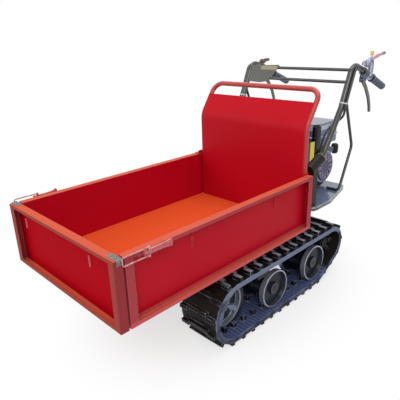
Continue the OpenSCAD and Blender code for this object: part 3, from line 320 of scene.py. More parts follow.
def surface(name, colour, second, patch_mm, roughness, grain_mm, bump_mm, edge_wear_and_highlight=None, edge_mm=1.5,
            lit_top=None, lips=(), painted=(), rings=(), metallic=0.0, specular=0.5, coat=0.0,
            wave_mm=0.0, mottle=0.5):
    material, tree = new_tree(name)
    place = add(tree, "ShaderNodeTexCoord")
    rounded = add(tree, "ShaderNodeBevel", {"Radius": edge_mm * MM}, samples=4)
    patch = add(tree, "ShaderNodeTexNoise",
                {"Vector": place.outputs["Object"], "Scale": 1 / (patch_mm * MM), "Detail": 5.0,
                 "Roughness": 0.6})
    tone = add(tree, "ShaderNodeMapRange",
               {"Value": patch, "From Min": 0.5 - mottle, "From Max": 0.5 + mottle})
    paint = add(tree, "ShaderNodeMix", {0: tone, 6: linear(colour), 7: linear(second)},
                data_type="RGBA")
    paint = toned_by_place_and_light(tree, place, paint, lips, lit_top, rings)
    if edge_wear_and_highlight:
        paint = wear_and_highlight_on_edges(tree, place, rounded, paint, edge_wear_and_highlight)
    for low, high, box_colour in painted:
        box = inside_box(tree, place, low, high)
        paint = add(tree, "ShaderNodeMix", {0: box, 6: paint, 7: linear(box_colour)},
                    data_type="RGBA")
    gloss = add(tree, "ShaderNodeMapRange",
                {"Value": patch, "To Min": roughness - gloss_change,
                 "To Max": roughness + gloss_change})
    shader = add(tree, "ShaderNodeBsdfPrincipled",
                 {"Base Color": paint, "Roughness": gloss, "Metallic": metallic,
                  "Specular IOR Level": specular, "Coat Weight": coat,
                  "Coat Roughness": coat_roughness,
                  "Normal": skin(tree, place, rounded, grain_mm, bump_mm, wave_mm)})
    add(tree, "ShaderNodeOutputMaterial", {"Surface": shader})
    return material


def dress(finish, *names):
    for name in names:
        for slot in node[name].material_slots:
            slot.material = finish


print("roughness varies by", gloss_change)

# %% [markdown]
# The bed is sheet steel in a frame of bent flanges, powder coated red in an oven. Powder melts into
# a thick even skin with a fine orange peel about two millimetres across. It is a strong, pure red
# with little shine. One flat red would make the bed look like a toy, so sheets and frames each have
# their own tone, and upward faces and side lips are painted lighter and darker as light and shade,
# told apart by their place and the way they face.

# %% Red powder coat on the gate and panels
latch_depth = 15 * MM
gate_y = -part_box("gate")[0][1]
panel_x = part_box("side_panel_left")[1][0] - latch_depth
bed_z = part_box("side_panel_left")[0][2]
powder = dict(patch_mm=220, grain_mm=2.2, bump_mm=0.03, wave_mm=0.3)
rib_half, rib_front, rib_back, rib_low, rib_high = 3, 22, 26.9, 476, 516
gate_ribs = [((x - rib_half, rib_front, rib_low), (x + rib_half, rib_back, rib_high), "#C4646C")
             for x in (-268, 159)]

# the gate's sheet is a deep red with almost no shine, its frame is rubbed brown and its two short
# ribs are pink; its upward faces are painted paler as light and the posts' side faces darker as
# shade
gate_coat = surface("red_powder_coat_gate", "#AA0012", "#A20010", roughness=0.6, specular=0.02,
                    lit_top="#CA5A42", edge_wear_and_highlight="#7A564E", edge_mm=2.2, painted=gate_ribs,
                    lips=[("Y", gate_y - 16 * MM, gate_y - 3 * MM, "#96443C"),
                          ("X", panel_x - 8 * MM, panel_x - 2 * MM, "#8C3438")], **powder)
# the side panels are a cooler red with a soft shine; the lower lip and upward faces are painted
# paler as light, and the flanges' side faces darker as shade
panel_coat = surface("red_powder_coat_panel", "#B4061E", "#AA041C", roughness=0.48, specular=0.10,
                     lit_top="#C8553E", edge_wear_and_highlight="#B87C74", edge_mm=2.2,
                     lips=[("X", panel_x - 22 * MM, panel_x - 4 * MM, "#9E3A40"),
                           ("Z", bed_z + 17 * MM, bed_z + 13 * MM, "#BA4C50")], **powder)
dress(gate_coat, "gate")
dress(panel_coat, "side_panel_left", "side_panel_right")
print("gate's face at", round(-gate_y, 4), "panels' faces at", round(panel_x, 4))

# %% [markdown]
# The rest of the bed has the same powder. Hands polish the headboard's tube and the latch levers,
# so each gets its own gloss and tone and not a shared red. The floor is more orange, partly as
# painted light on a face that looks up.

# %% Red coat on the rest of the bed
# the headboard has a soft shine, and its upward faces are painted a paler pink as light from
# above
board_coat = surface("red_powder_coat_board", "#B6081C", "#AC0618", roughness=0.46, specular=0.10,
                     lit_top="#AE3A40", edge_wear_and_highlight="#C07068", **powder)
# the bent tube is paler and shows a clear shine along its length; its upward faces are painted
# paler still as light
tube_coat = surface("red_powder_coat_tube", "#B03C3A", "#A63434", roughness=0.36, specular=0.35,
                    lit_top="#C0685E", edge_wear_and_highlight="#CC9C92", **powder)
# the floor is the most orange of all, partly as painted light on a face that looks up
floor_coat = surface("red_powder_coat_floor", "#DE5226", "#D84A24", roughness=0.5, specular=0.1,
                     lit_top="#DC5126", patch_mm=320, grain_mm=2.2, bump_mm=0.03, wave_mm=0.4)
# the latch levers are glossy, with a bright line painted on each rounded edge as a highlight,
# and upward faces painted paler as light
lever_red = surface("glossy_red_latch_coat", "#B23A3C", "#A42A30", roughness=0.22, coat=0.8,
                    patch_mm=30, grain_mm=1.6, bump_mm=0.02, lit_top="#C86A60", edge_wear_and_highlight="#E8C0BC",
                    edge_mm=2.5)
dress(board_coat, "headboard_sheet")
dress(tube_coat, "headboard_tube", "tray_subframe")
dress(lever_red, "latch_lever_left", "latch_lever_right")
dress(floor_coat, "tray_floor")
print("red coats", sum(1 for m in bpy.data.materials if "red" in m.name))

# %% [markdown]
# Black satin coat covers the frame and the handlebar. It is the same kind of skin, but dark and a
# little brown or blue, and it shows mostly as pale reflections of the studio. Black paint on a round
# tube is told by one long highlight, so the tubes get the finest grain and hardly any rounding,
# which would break that highlight up.

# %% Black coats on the frame and the handlebar
# the frame is black satin, grey on its chipped edges
frame_coat = surface("black_satin_coat", "#22242B", "#17181D", roughness=0.42, specular=0.2,
                     patch_mm=90, grain_mm=1.8, bump_mm=0.03, edge_wear_and_highlight="#6A6C74")
# the handle posts and their sleeves are brown black, mottled by old dust, and kept nearly black
# as painted shade
sleeve_coat = surface("black_sleeve_coat", "#2A2420", "#120F0D", roughness=0.36, specular=0.15,
                      patch_mm=26, grain_mm=2.4, bump_mm=0.06)
# the tubes are smooth and show a long pale highlight
bar_coat = surface("black_tube_coat", "#343431", "#222221", roughness=0.24, coat=0.3,
                   patch_mm=40, grain_mm=2.4, bump_mm=0.01, edge_mm=0.1)
dress(frame_coat, "chassis_frame", "cross_tubes_and_ears", "idler_yokes")
dress(sleeve_coat, "handle_posts")
dress(bar_coat, "handle_arm_left", "handle_arm_right", "crossbars", "brace_rods")
print("black coats", sum(1 for m in bpy.data.materials if "black" in m.name))

# %% [markdown]
# Two plates are coated. The console plate is a dull grey. The platform under the engine is a
# glossy dark coat, so the engine is mirrored in it; its top is painted grey blue as light from above
# and its rim bright as a painted highlight. A flat mirror would be too clean for pressed sheet, so
# ripples 26 mm across, half a millimetre high, break the mirror image up.

# %% Coats on the plates
pale_panel = ((-204, 1296, 946), (-108, 1400, 964), "#8E8A66")
# the console plate is dull grey with pale edges and one plain pale panel
console_coat = surface("grey_console_coat", "#545450", "#484844", roughness=0.40,
                       patch_mm=50, grain_mm=1.6, bump_mm=0.03, edge_wear_and_highlight="#A8A89E", edge_mm=2.5,
                       painted=[pale_panel])
# the platform is a dark coat; its upward faces are painted grey blue as light and its rim bright
# as a painted highlight
plate_coat = surface("dark_platform_coat_lit_top", "#1C1E26", "#121319", roughness=0.13, specular=0.8,
                     patch_mm=26, grain_mm=26, bump_mm=0.5, edge_wear_and_highlight="#E4EAF4", lit_top="#65708A",
                     edge_mm=9, mottle=0.15)
dress(console_coat, "console_plate")
dress(plate_coat, "engine_platform")
print("plates", [m.name for m in (console_coat, plate_coat)])

# %% [markdown]
# The engine has an enamelled steel tank and shroud and a moulded recoil cover. Enamel is glassy, so
# it shows bright edges and deep darks; here the bright edges are painted highlights. The tank's upper
# edge and its seam get pale bands as painted highlights, and a black strap crosses its corner. The
# recoil cover gets rings round its centre, painted lighter and darker as light and shade. Bands and
# rings are painted by place, because they are only a few millimetres high.

# %% Engine covers
# pale bands on the tank's upper edge and seam: painted highlights
tank_edge_highlight = ((-30, 1100, 692), (215, 1420, 711), "#A9B3CC")
tank_seam_highlight = ((-30, 1100, 654), (215, 1420, 664), "#B4BDD4")
tank_strap = ((176, 1196, 600), (215, 1238, 735), "#101116")
# rings round the recoil cover's centre, lighter and darker: painted light and shade
cover_light_and_shade_rings = [(75, 6, "#8C94BA"), (64, 5, "#33345A"), (46, 13, "#7A6E92"), (16, 17, "#46405E")]
# the tank is blue grey and glassy; its rolled edges are painted white as highlights
tank_enamel = surface("blue_grey_tank_enamel", "#6A749C", "#525B7E", roughness=0.18, specular=0.4,
                      patch_mm=60, grain_mm=2.0, bump_mm=0.03, edge_wear_and_highlight="#F0F4FA", lit_top="#6A748C",
                      edge_mm=5, painted=[tank_edge_highlight, tank_seam_highlight, tank_strap])
# the shroud is nearly black, with cool bright edges painted as highlights
shroud_enamel = surface("dark_shroud_enamel", "#20222C", "#121319", roughness=0.30, specular=0.2,
                        patch_mm=30, grain_mm=1.4, bump_mm=0.02, edge_wear_and_highlight="#B4BCD0", edge_mm=4)
# the recoil cover is purple grey with a soft shine; its pale edges and its rings are painted
# light and shade
recoil_plastic = surface("moulded_purple_grey_plastic", "#5A5478", "#48435F", roughness=0.36,
                         specular=0.25, patch_mm=40, grain_mm=1.0, bump_mm=0.04, edge_wear_and_highlight="#D8D4EA",
                         edge_mm=3, rings=cover_light_and_shade_rings)
dress(tank_enamel, "fuel_tank")
dress(shroud_enamel, "fan_shroud")
dress(recoil_plastic, "recoil_cover")
print("steps painted on the recoil cover", len(cover_light_and_shade_rings))

# %% [markdown]
# Under the covers are castings: die cast alloy for the crankcase and head, painted iron for the
# gearbox and sprockets. The muffler is plain steel. A casting keeps the grain of its mould, so these
# have a coarser bump than a coat has.

# %% Castings, muffler and plastic
# die cast alloy is a grainy grey, half a metal to the eye because its skin has dulled
casting = surface("die_cast_alloy", "#6A6E78", "#50545E", roughness=0.44, metallic=0.5,
                  patch_mm=14, grain_mm=1.6, bump_mm=0.12, edge_wear_and_highlight="#B8BCC6", edge_mm=3, mottle=0.35)
# painted iron is black and rough
box_casting = surface("painted_cast_iron", "#1E1F26", "#141419", roughness=0.50, specular=0.2,
                      patch_mm=60, grain_mm=1.2, bump_mm=0.10, edge_wear_and_highlight="#62626A")
# the muffler's steel has browned in the heat and is dull
muffler_steel = surface("heat_browned_steel", "#211F1F", "#2E2824", roughness=0.55, metallic=0.2,
                        specular=0.2, patch_mm=40, grain_mm=1.0, bump_mm=0.05, edge_wear_and_highlight="#6E6258")
# black plastic has an even satin, grey on handled edges
plastic = surface("moulded_black_plastic", "#1C1D21", "#141518", roughness=0.42, specular=0.25,
                  patch_mm=70, grain_mm=0.8, bump_mm=0.03, edge_wear_and_highlight="#7A7C82", edge_mm=2)
dress(casting, "crankcase", "cylinder_head")
dress(box_casting, "gearbox", "drive_sprocket_left", "drive_sprocket_right")
dress(muffler_steel, "muffler")
dress(plastic, "starter_handle", "fuel_cap", "air_cleaner")
print("engine dressed, materials", len(bpy.data.materials))

# %% [markdown]
# The controls are a mix: ribbed rubber grips, coated perches, and a tumbled alloy perch for the
# clutch. The small perches carry many edges close together, so it is their bright edges, painted as
# highlights, more than their colour, that tell their shape.

# %% Grips and perches
# the grips are dull blue grey rubber, pale on each rib
grip_rubber = surface("ribbed_grip_rubber", "#485062", "#363D4C", roughness=0.50, specular=0.3,
                      patch_mm=14, grain_mm=0.9, bump_mm=0.05, edge_wear_and_highlight="#A8B4CC", edge_mm=2.5)
# tumbled alloy is pale with dark patches at random, and its edges are painted near white as
# highlights
pale_casting = surface("tumbled_alloy", "#B4BEDA", "#2E3550", roughness=0.28, metallic=0.3,
                       patch_mm=22, grain_mm=3.0, bump_mm=0.25, edge_wear_and_highlight="#F2F5FB", edge_mm=4,
                       mottle=0.1)
# the levers' perches are blue black, with bright edges painted as highlights
perch_coat = surface("blue_black_perch_coat", "#333A60", "#14172A", roughness=0.28, specular=0.4,
                     patch_mm=18, grain_mm=2.0, bump_mm=0.08, edge_wear_and_highlight="#D0D8F0", edge_mm=3,
                     mottle=0.15)
# the throttle's housing and lever are an even brown grey plastic
throttle_plastic = surface("moulded_brown_grey_plastic", "#5E4E48", "#4A403C", roughness=0.42,
                           patch_mm=24, grain_mm=0.8, bump_mm=0.03, edge_wear_and_highlight="#A89890")
dress(grip_rubber, "grips")
dress(pale_casting, "clutch_perch")
dress(perch_coat, "lever_perches")
dress(throttle_plastic, "throttle_housing", "throttle_lever")
print("grips and perches done, materials", len(bpy.data.materials))

# %% [markdown]
# The steering levers are pressed steel, and so are the belt's pulleys and its tension arm. The
# clutch lever is coated, with a bare grey tip, and the lock knob is yellow plastic. The tip's place
# is measured from the lever's end in the frame.

# %% Levers and knob
tip_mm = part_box("clutch_lever")[1][1] / MM + gate_front_mm
grey_tip = ((200, tip_mm - 34, 900), (360, tip_mm + 4, 1100), "#77757A")
# pressed steel is dark and a little shiny
lever_steel = surface("dark_pressed_steel", "#66665F", "#54544E", roughness=0.36, metallic=0.5,
                      patch_mm=40, grain_mm=0.8, bump_mm=0.02, edge_wear_and_highlight="#A8A8A0")
# the clutch lever's red has faded to pink
lever_coat = surface("faded_red_lever_coat", "#CF97A0", "#C08690", roughness=0.42,
                     patch_mm=30, grain_mm=0.8, bump_mm=0.02, edge_wear_and_highlight="#E8D4D4", painted=[grey_tip])
# the knob is a pale, even yellow
yellow = surface("moulded_yellow_plastic", "#CFC07A", "#C2B068", roughness=0.42,
                 patch_mm=20, grain_mm=0.6, bump_mm=0.02)
dress(lever_steel, "steering_lever_left", "steering_lever_right", "tension_arm")
dress(lever_steel, "crank_pulley", "gearbox_pulley")
dress(lever_coat, "clutch_lever")
dress(yellow, "lock_knob")
print("clutch lever's end at", round(tip_mm, 1), "mm")

# %% [markdown]
# The hooks and bolts are zinc plated steel. The bails are painted wire. Cables, ties, belt and rope
# are the soft parts. All are thin, so a plain finish with the right gloss does more for them than a
# fine pattern would.

# %% Plated parts, cords and belt
# zinc plate is metal with a cloudy bloom
zinc = surface("dulled_zinc_plate", "#8C8A84", "#5E5C58", roughness=0.34, metallic=0.8,
               patch_mm=12, grain_mm=0.8, bump_mm=0.03, edge_wear_and_highlight="#DAD8D2")
# the bails' red has worn to pale pink in patches
bail_wire = surface("worn_painted_wire", "#A8484A", "#CDA4A0", roughness=0.30, specular=0.4,
                    patch_mm=16, grain_mm=0.8, bump_mm=0.02, mottle=0.2)
# fabric faced rubber is matt black
vee_belt_rubber = surface("fabric_faced_belt_rubber", "#232325", "#1A1A1C", roughness=0.75,
                          patch_mm=20, grain_mm=1.0, bump_mm=0.08)
# an extruded jacket is smooth and black with a low sheen
jacket = surface("extruded_black_jacket", "#2A2A2A", "#212121", roughness=0.38,
                 patch_mm=30, grain_mm=0.8, bump_mm=0.02)
# nylon is a milky grey white
nylon = surface("moulded_nylon_tie", "#C9CAC8", "#BCBDBA", roughness=0.45,
                patch_mm=20, grain_mm=0.6, bump_mm=0.02)
# braided cord is off white, in patches drawn coarser than its strands so that they show
braid = surface("braided_starter_cord", "#CFCDC6", "#A9A79F", roughness=0.75,
                patch_mm=3, grain_mm=1.2, bump_mm=0.25)
dress(zinc, "gate_hooks", "frame_bolts", "tray_pivot_pin")
dress(bail_wire, "latch_bail_left", "latch_bail_right")
dress(vee_belt_rubber, "drive_belt")
dress(jacket, "control_cables")
dress(nylon, "cable_ties")
dress(braid, "starter_rope")
for cable in cables:
    cable.data.materials.append(jacket)
starter_rope.data.materials.append(braid)
print("cords dressed", len(cables) + 1)

# %% [markdown]
# A track is moulded rubber with steel inside. It is black with brown dirt. On the upper run the
# lugs' tops are painted grey as light and the pockets between them black as shade. This could be
# painted on the mesh, but the belt has hundreds of small faces, so place and direction do it here.
# The upper run falls a little from the front wheel to the sprocket, and heights on it are measured
# from that sloping line.

# %% Track rubber: the upper run
track_rubber, tree = new_tree("moulded_track_rubber")
dirt_mm = 45
place = add(tree, "ShaderNodeTexCoord")
spot = add(tree, "ShaderNodeSeparateXYZ", {0: place.outputs["Object"]}).outputs
looks = add(tree, "ShaderNodeSeparateXYZ", {0: place.outputs["Normal"]}).outputs
dirt = add(tree, "ShaderNodeTexNoise",
           {"Vector": place.outputs["Object"], "Scale": 1 / (dirt_mm * MM), "Detail": 6.0,
            "Roughness": 0.65})
rubber = add(tree, "ShaderNodeMix", {0: dirt, 6: linear("#131313"), 7: linear("#221F1C")},
             data_type="RGBA")

run_slope, run_offset = 0.0086, 0.0027
fall = add(tree, "ShaderNodeMath", {0: spot["Y"], 1: run_slope, 2: run_offset},
           operation="MULTIPLY_ADD")
height = add(tree, "ShaderNodeMath", {0: spot["Z"], 1: fall}, operation="ADD")
looks_up = add(tree, "ShaderNodeMapRange", {"Value": looks["Z"], "From Min": 0.6, "From Max": 0.85})
lug_top = add(tree, "ShaderNodeMapRange",
              {"Value": height, "From Min": 0.270, "From Max": 0.278})
upper_run = add(tree, "ShaderNodeMapRange",
                {"Value": height, "From Min": 0.245, "From Max": 0.255})
# upper run: lug tops painted grey as light, pockets painted black as shade
lit_tops_shaded_pockets = add(tree, "ShaderNodeMix", {0: lug_top, 6: linear("#141519"), 7: linear("#9AA0AE")},
               data_type="RGBA")
on_top = add(tree, "ShaderNodeMath", {0: looks_up, 1: upper_run}, operation="MULTIPLY")
rubber = add(tree, "ShaderNodeMix", {0: on_top, 6: rubber, 7: lit_tops_shaded_pockets}, data_type="RGBA")
print("upper run slopes", run_slope)

# %% [markdown]
# The inner face is ribbed across, and where it looks up on the lower run it is painted blue as the
# light falling on it. The pitch of the ribs is a guess. They are too low to need faces, so a wave
# texture draws them: one of scale s repeats every 2 pi / (20 s). The front lugs also have faces that
# look up, but they lie ahead of the inner face.

# %% Track rubber: the inner face
rib_pitch_mm = 18
ahead_y, inside_y = -0.398, -0.390
ribs = add(tree, "ShaderNodeTexWave",
           {"Vector": place.outputs["Object"], "Distortion": 1.2, "Detail": 2.0,
            "Scale": 2 * math.pi / (20 * rib_pitch_mm * MM)}, bands_direction="Y")
# the lower run's inner face: blue as painted light, striped by the ribs
lit_inner_face = add(tree, "ShaderNodeMix",
            {0: ribs.outputs["Fac"], 6: linear("#384060"), 7: linear("#586288")},
            data_type="RGBA")
lower_run = add(tree, "ShaderNodeMapRange",
                {"Value": spot["Z"], "From Min": 0.075, "From Max": 0.062})
behind_lugs = add(tree, "ShaderNodeMapRange",
                  {"Value": spot["Y"], "From Min": ahead_y, "From Max": inside_y})
inner_face = add(tree, "ShaderNodeMath", {0: lower_run, 1: behind_lugs}, operation="MULTIPLY")
on_inside = add(tree, "ShaderNodeMath", {0: looks_up, 1: inner_face}, operation="MULTIPLY")
rubber = add(tree, "ShaderNodeMix", {0: on_inside, 6: rubber, 7: lit_inner_face}, data_type="RGBA")
print("ribs every", rib_pitch_mm, "mm")

# %% [markdown]
# The belt's outer side bands are an even grey blue along the upper run. Lower down they are near
# black with paler patches, which are painted glints.

# %% Track rubber: the side bands
edge_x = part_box("track_belt_left")[1][0]
sideways = add(tree, "ShaderNodeMath", {0: looks["X"]}, operation="ABSOLUTE")
outward = add(tree, "ShaderNodeMath", {0: spot["X"]}, operation="ABSOLUTE")
outside = add(tree, "ShaderNodeMapRange",
              {"Value": outward, "From Min": edge_x - 2 * MM, "From Max": edge_x - 1 * MM})
side_band = add(tree, "ShaderNodeMath", {0: sideways, 1: outside}, operation="MULTIPLY")
patchy = add(tree, "ShaderNodeMapRange", {"Value": dirt, "From Min": 0.40, "From Max": 0.60})
# lower side band: near black with pale patches as painted glints
low_band_glints = add(tree, "ShaderNodeMix", {0: patchy, 6: linear("#15171F"), 7: linear("#464E6C")},
               data_type="RGBA")
high_band = add(tree, "ShaderNodeMapRange",
                {"Value": height, "From Min": 0.215, "From Max": 0.235})
side_band_tone = add(tree, "ShaderNodeMix", {0: high_band, 6: low_band_glints, 7: linear("#67708A")},
              data_type="RGBA")
rubber = add(tree, "ShaderNodeMix", {0: side_band, 6: rubber, 7: side_band_tone}, data_type="RGBA")
print("track's outer edge at", round(edge_x, 4))

# %% [markdown]
# All edges of the rubber are painted pale in patches, as highlights. Rubber hardly shines, so its
# specular level is low, and the dirt's own pattern serves as the bump.

# %% Track rubber: edges and shader
rounded = add(tree, "ShaderNodeBevel", {"Radius": 4 * MM}, samples=4)
edge = near_edge(tree, rounded, flat_at=0.98, worn_at=0.80)
pale_edge = add(tree, "ShaderNodeMath", {0: edge, 1: patchy}, operation="MULTIPLY")
# pale patches on the rubber's edges: painted highlights
rubber = add(tree, "ShaderNodeMix", {0: pale_edge, 6: rubber, 7: linear("#B4B9C6")},
             data_type="RGBA")
bump = add(tree, "ShaderNodeBump",
           {"Strength": 1.0, "Distance": 0.4 * MM, "Height": dirt, "Normal": rounded})
shader = add(tree, "ShaderNodeBsdfPrincipled",
             {"Base Color": rubber, "Roughness": 0.5, "Specular IOR Level": 0.12, "Normal": bump})
add(tree, "ShaderNodeOutputMaterial", {"Surface": shader})
dress(track_rubber, "track_belt_left", "track_belt_right")
print("track rubber has", len(tree.nodes), "nodes")

# %% [markdown]
# The wheels are cast iron in black paint. The belt has rubbed their rims bright, and the hubs were
# faced off in a lathe, so both show bare metal. The distance from the axle tells rim, web and hub
# apart. It is taken from the wheel's own box, where the axle is at one half, so the finish turns
# with the wheel. The front wheel has spokes, which are painted pale as light on them against the
# darker web: the cosine of so many times the angle is high along each of them.

# %% Bands and spokes on a wheel
def set_bands(stops, bands):
    stops[0].position, stops[1].position = bands[0][0], bands[-1][0]
    stops[0].color = (bands[0][1],) * 3 + (1.0,)
    stops[1].color = (bands[-1][1],) * 3 + (1.0,)
    for far, share in bands[1:-1]:
        stops.new(far).color = (share,) * 3 + (1.0,)


def on_spoke(tree, parts, reach, count):
    out_y = add(tree, "ShaderNodeMath", {0: 0.5, 1: parts["Y"]}, operation="SUBTRACT")
    out_z = add(tree, "ShaderNodeMath", {0: 0.5, 1: parts["Z"]}, operation="SUBTRACT")
    turn = add(tree, "ShaderNodeMath", {0: out_z, 1: out_y}, operation="ARCTAN2")
    turns = add(tree, "ShaderNodeMath", {0: turn, 1: count}, operation="MULTIPLY")
    beat = add(tree, "ShaderNodeMath", {0: turns}, operation="COSINE")
    along = add(tree, "ShaderNodeMapRange", {"Value": beat, "From Min": 0.45, "From Max": 0.6})
    web = add(tree, "ShaderNodeMapRange", {"Value": reach, "From Min": 0.375, "From Max": 0.365})
    return add(tree, "ShaderNodeMath", {0: along, 1: web}, operation="MULTIPLY")


print("wheel helpers ready")

# %% [markdown]
# Paint and bare metal could be two materials on two sets of faces. One material that goes from one
# to the other lets the wear fade out across the rim.

# %% Wheel iron
wheel_patch_mm, bare_metallic = 35, 0.7


def wheel_iron(name, bands, spokes=0):
    material, tree = new_tree(name)
    place = add(tree, "ShaderNodeTexCoord")
    parts = add(tree, "ShaderNodeSeparateXYZ", {0: place.outputs["Generated"]}).outputs
    flat = add(tree, "ShaderNodeCombineXYZ", {"X": 0.5, "Y": parts["Y"], "Z": parts["Z"]})
    reach = add(tree, "ShaderNodeVectorMath", {0: flat, 1: (0.5, 0.5, 0.5)}, operation="DISTANCE")
    bare = add(tree, "ShaderNodeValToRGB", {"Fac": reach})
    set_bands(bare.color_ramp.elements, bands)
    patch = add(tree, "ShaderNodeTexNoise",
                {"Vector": place.outputs["Object"], "Scale": 1 / (wheel_patch_mm * MM),
                 "Detail": 6.0})
    dark = add(tree, "ShaderNodeMix", {0: patch, 6: linear("#1C2030"), 7: linear("#0B0C10")},
               data_type="RGBA")
    bright = add(tree, "ShaderNodeMix", {0: patch, 6: linear("#B6BCC8"), 7: linear("#7C828E")},
                 data_type="RGBA")
    paint = add(tree, "ShaderNodeMix", {0: bare, 6: dark, 7: bright}, data_type="RGBA")
    if spokes:
        # pale along each spoke: painted light against the darker web
        pale = on_spoke(tree, parts, reach, spokes)
        paint = add(tree, "ShaderNodeMix", {0: pale, 6: paint, 7: linear("#78829E")},
                    data_type="RGBA")
    metal = add(tree, "ShaderNodeMath", {0: bare, 1: bare_metallic}, operation="MULTIPLY")
    rounded = add(tree, "ShaderNodeBevel", {"Radius": 3 * MM}, samples=4)
    bump = add(tree, "ShaderNodeBump",
               {"Strength": 1.0, "Distance": 0.1 * MM, "Height": patch, "Normal": rounded})
    shader = add(tree, "ShaderNodeBsdfPrincipled",
                 {"Base Color": paint, "Metallic": metal, "Roughness": 0.28,
                  "Specular IOR Level": 0.12, "Normal": bump})
    add(tree, "ShaderNodeOutputMaterial", {"Surface": shader})
    return material


print("bare iron is metallic by", bare_metallic)

# %% [markdown]
# The road wheels and the front wheel are worn in different places. Each band is a share of bare metal
# at a distance from the axle, in parts of the wheel's diameter, so one list serves any size of wheel.

# %% Wheels
# a road wheel is black inside with a bright rim
road_bands = [(0.0, 0.02), (0.09, 0.05), (0.13, 0.16), (0.16, 0.01), (0.40, 0.01), (0.455, 0.03),
              (0.475, 0.95), (0.5, 0.95)]
# the front wheel's bright line is the inner edge of its rim
idler_bands = [(0.0, 0.1), (0.10, 0.3), (0.15, 0.02), (0.36, 0.02), (0.375, 0.9), (0.40, 0.8),
               (0.43, 0.02)]
road_iron = wheel_iron("cast_iron_road_wheel", road_bands)
idler_iron = wheel_iron("cast_iron_idler", idler_bands, spokes=5)
for side, _ in SIDES:
    dress(road_iron, "road_wheel_front_" + side, "road_wheel_rear_" + side)
    dress(idler_iron, "front_idler_" + side)
print("bands on a road wheel", len(road_bands), "on the front wheel", len(idler_bands))

# %% [markdown]
# Small fittings are only looks, so they are made here. Most of the real ones are turned or headed
# from bar. They could be built from cylinders and cones, but one profile of radius and height, swept
# round an axis as on a lathe, gives chamfers and necks in one go. Each is set on the face that
# carries it and rides with that body.

# %% Turned fittings
sharp_angle = math.radians(35)


def mesh_piece(shape, name, body, finish, at=None, smooth=True, thick_mm=0.0):
    mesh = bpy.data.meshes.new(name)
    shape.to_mesh(mesh)
    shape.free()
    for face in mesh.polygons:
        face.use_smooth = smooth
    mesh.materials.append(finish)
    piece = bpy.data.objects.new(name, mesh)
    piece.matrix_world = at or Matrix.Identity(4)
    bpy.context.scene.collection.objects.link(piece)
    if thick_mm:
        sheet = piece.modifiers.new("sheet", "SOLIDIFY")
        sheet.thickness, sheet.offset = thick_mm * MM, 0.0
    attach(piece, body)
    return piece


def turned_fitting(name, profile_mm, place, along, body, finish, sides=24):
    shape = bmesh.new()
    ring = [shape.verts.new((r * MM, 0.0, h * MM)) for r, h in profile_mm]
    edges = [shape.edges.new(pair) for pair in zip(ring, ring[1:])]
    bmesh.ops.spin(shape, geom=ring + edges, axis=(0, 0, 1), cent=(0, 0, 0), dvec=(0, 0, 0),
                   angle=2 * math.pi, steps=sides)
    bmesh.ops.remove_doubles(shape, verts=shape.verts, dist=1e-6)
    bmesh.ops.recalc_face_normals(shape, faces=shape.faces)
    facing = Vector((0, 0, 1)).rotation_difference(Vector(along)).to_matrix().to_4x4()
    piece = mesh_piece(shape, name, body, finish, Matrix.Translation(place) @ facing)
    piece.data.set_sharp_from_angle(angle=sharp_angle)
    return piece


print("lathe ready")

# %% [markdown]
# Two rivets hold each gate hook. A ferrule guides each cable out of the platform. Six screws hold
# the recoil cover. Rivets and ferrules are placed by the pieces that they hold, so they stay on them
# if the CAD changes. The screws stand in a ring round the crankshaft.

# %% Rivets, ferrules and screws
rivet_mm = [(0, 0), (4.2, 0), (4.0, 1.0), (2.8, 2.0), (0, 2.4)]
screw_mm = [(0, 0), (5.0, 0), (5.0, 2.2), (3.6, 3.4), (2.0, 3.4), (1.6, 2.2), (0, 2.2)]
ferrule_mm = [(0, 0), (8.0, 0), (8.0, 10), (6.6, 13), (6.2, 30), (5.3, 36), (0, 36)]
rivet_x, recoil_face, screw_circle = (292, 312), 192, 71
cable_lean = Vector((0.05, 0.32, 0.94))


def six_round_crank(x, radius):
    angles = [math.radians(60 * k + 30) for k in range(6)]
    return [in_frame(x, crank_y_mm + radius * math.cos(a), crank_z_mm + radius * math.sin(a))
            for a in angles]


hook_low, hook_high = (Vector(corner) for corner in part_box("gate_hooks"))
hook_y = (hook_low.y + hook_high.y) / 2
for side, sign in SIDES:
    for k, x in enumerate(rivet_x):
        turned_fitting(f"hook_rivet_{side}_{k}", rivet_mm, (sign * x * MM, hook_y, hook_high.z),
                       (0, 0, 1), "gate", zinc)
for cable, (side, sign) in zip(cables, SIDES):
    foot = cable.data.splines[0].bezier_points[0].co
    lean = (sign * cable_lean.x, cable_lean.y, cable_lean.z)
    turned_fitting("cable_ferrule_" + side, ferrule_mm, foot, lean, "carrier", plastic)
for k, screw_place in enumerate(six_round_crank(recoil_face, screw_circle)):
    turned_fitting(f"recoil_screw_{k}", screw_mm, screw_place, (1, 0, 0), "carrier", zinc)
print("rivets on the hooks at Y", round(hook_y, 4))

# %% [markdown]
# The crankcase is closed on the belt side by a turned cover with a ring of hexagon bolts, and has
# an oil filler and a drain bolt on its rear wall. Two more bolts hold it on the platform. A bolt
# head is the same turning with six sides.

# %% Crankcase fittings
cover_mm = [(11.5, 0), (56, 0), (56, 3.5), (53, 5.5), (26, 5.5), (23, 9), (11.5, 9), (11.5, 0)]
bolt_mm = [(0, 0), (6, 0), (6, 3.6), (5, 4.6), (0, 4.6)]
filler_mm = [(0, -8), (13, -8), (13, 9), (17, 10), (17, 20), (14.5, 23), (5, 23), (4, 21), (0, 21)]
case_face, case_rear, platform_top = -70, 1380, 400
bolt_face, bolt_circle, hexagon = case_face - 5.4, 45, 6
foot_x, foot_y = case_face - 16, (1240, 1352)
filler_x, filler_z, drain_x, drain_z = 62, 436, 20, 414
belt_side, rearward, upward, filler_lean = (-1, 0, 0), (0, 1, 0), (0, 0, 1), (0, 0.86, 0.5)

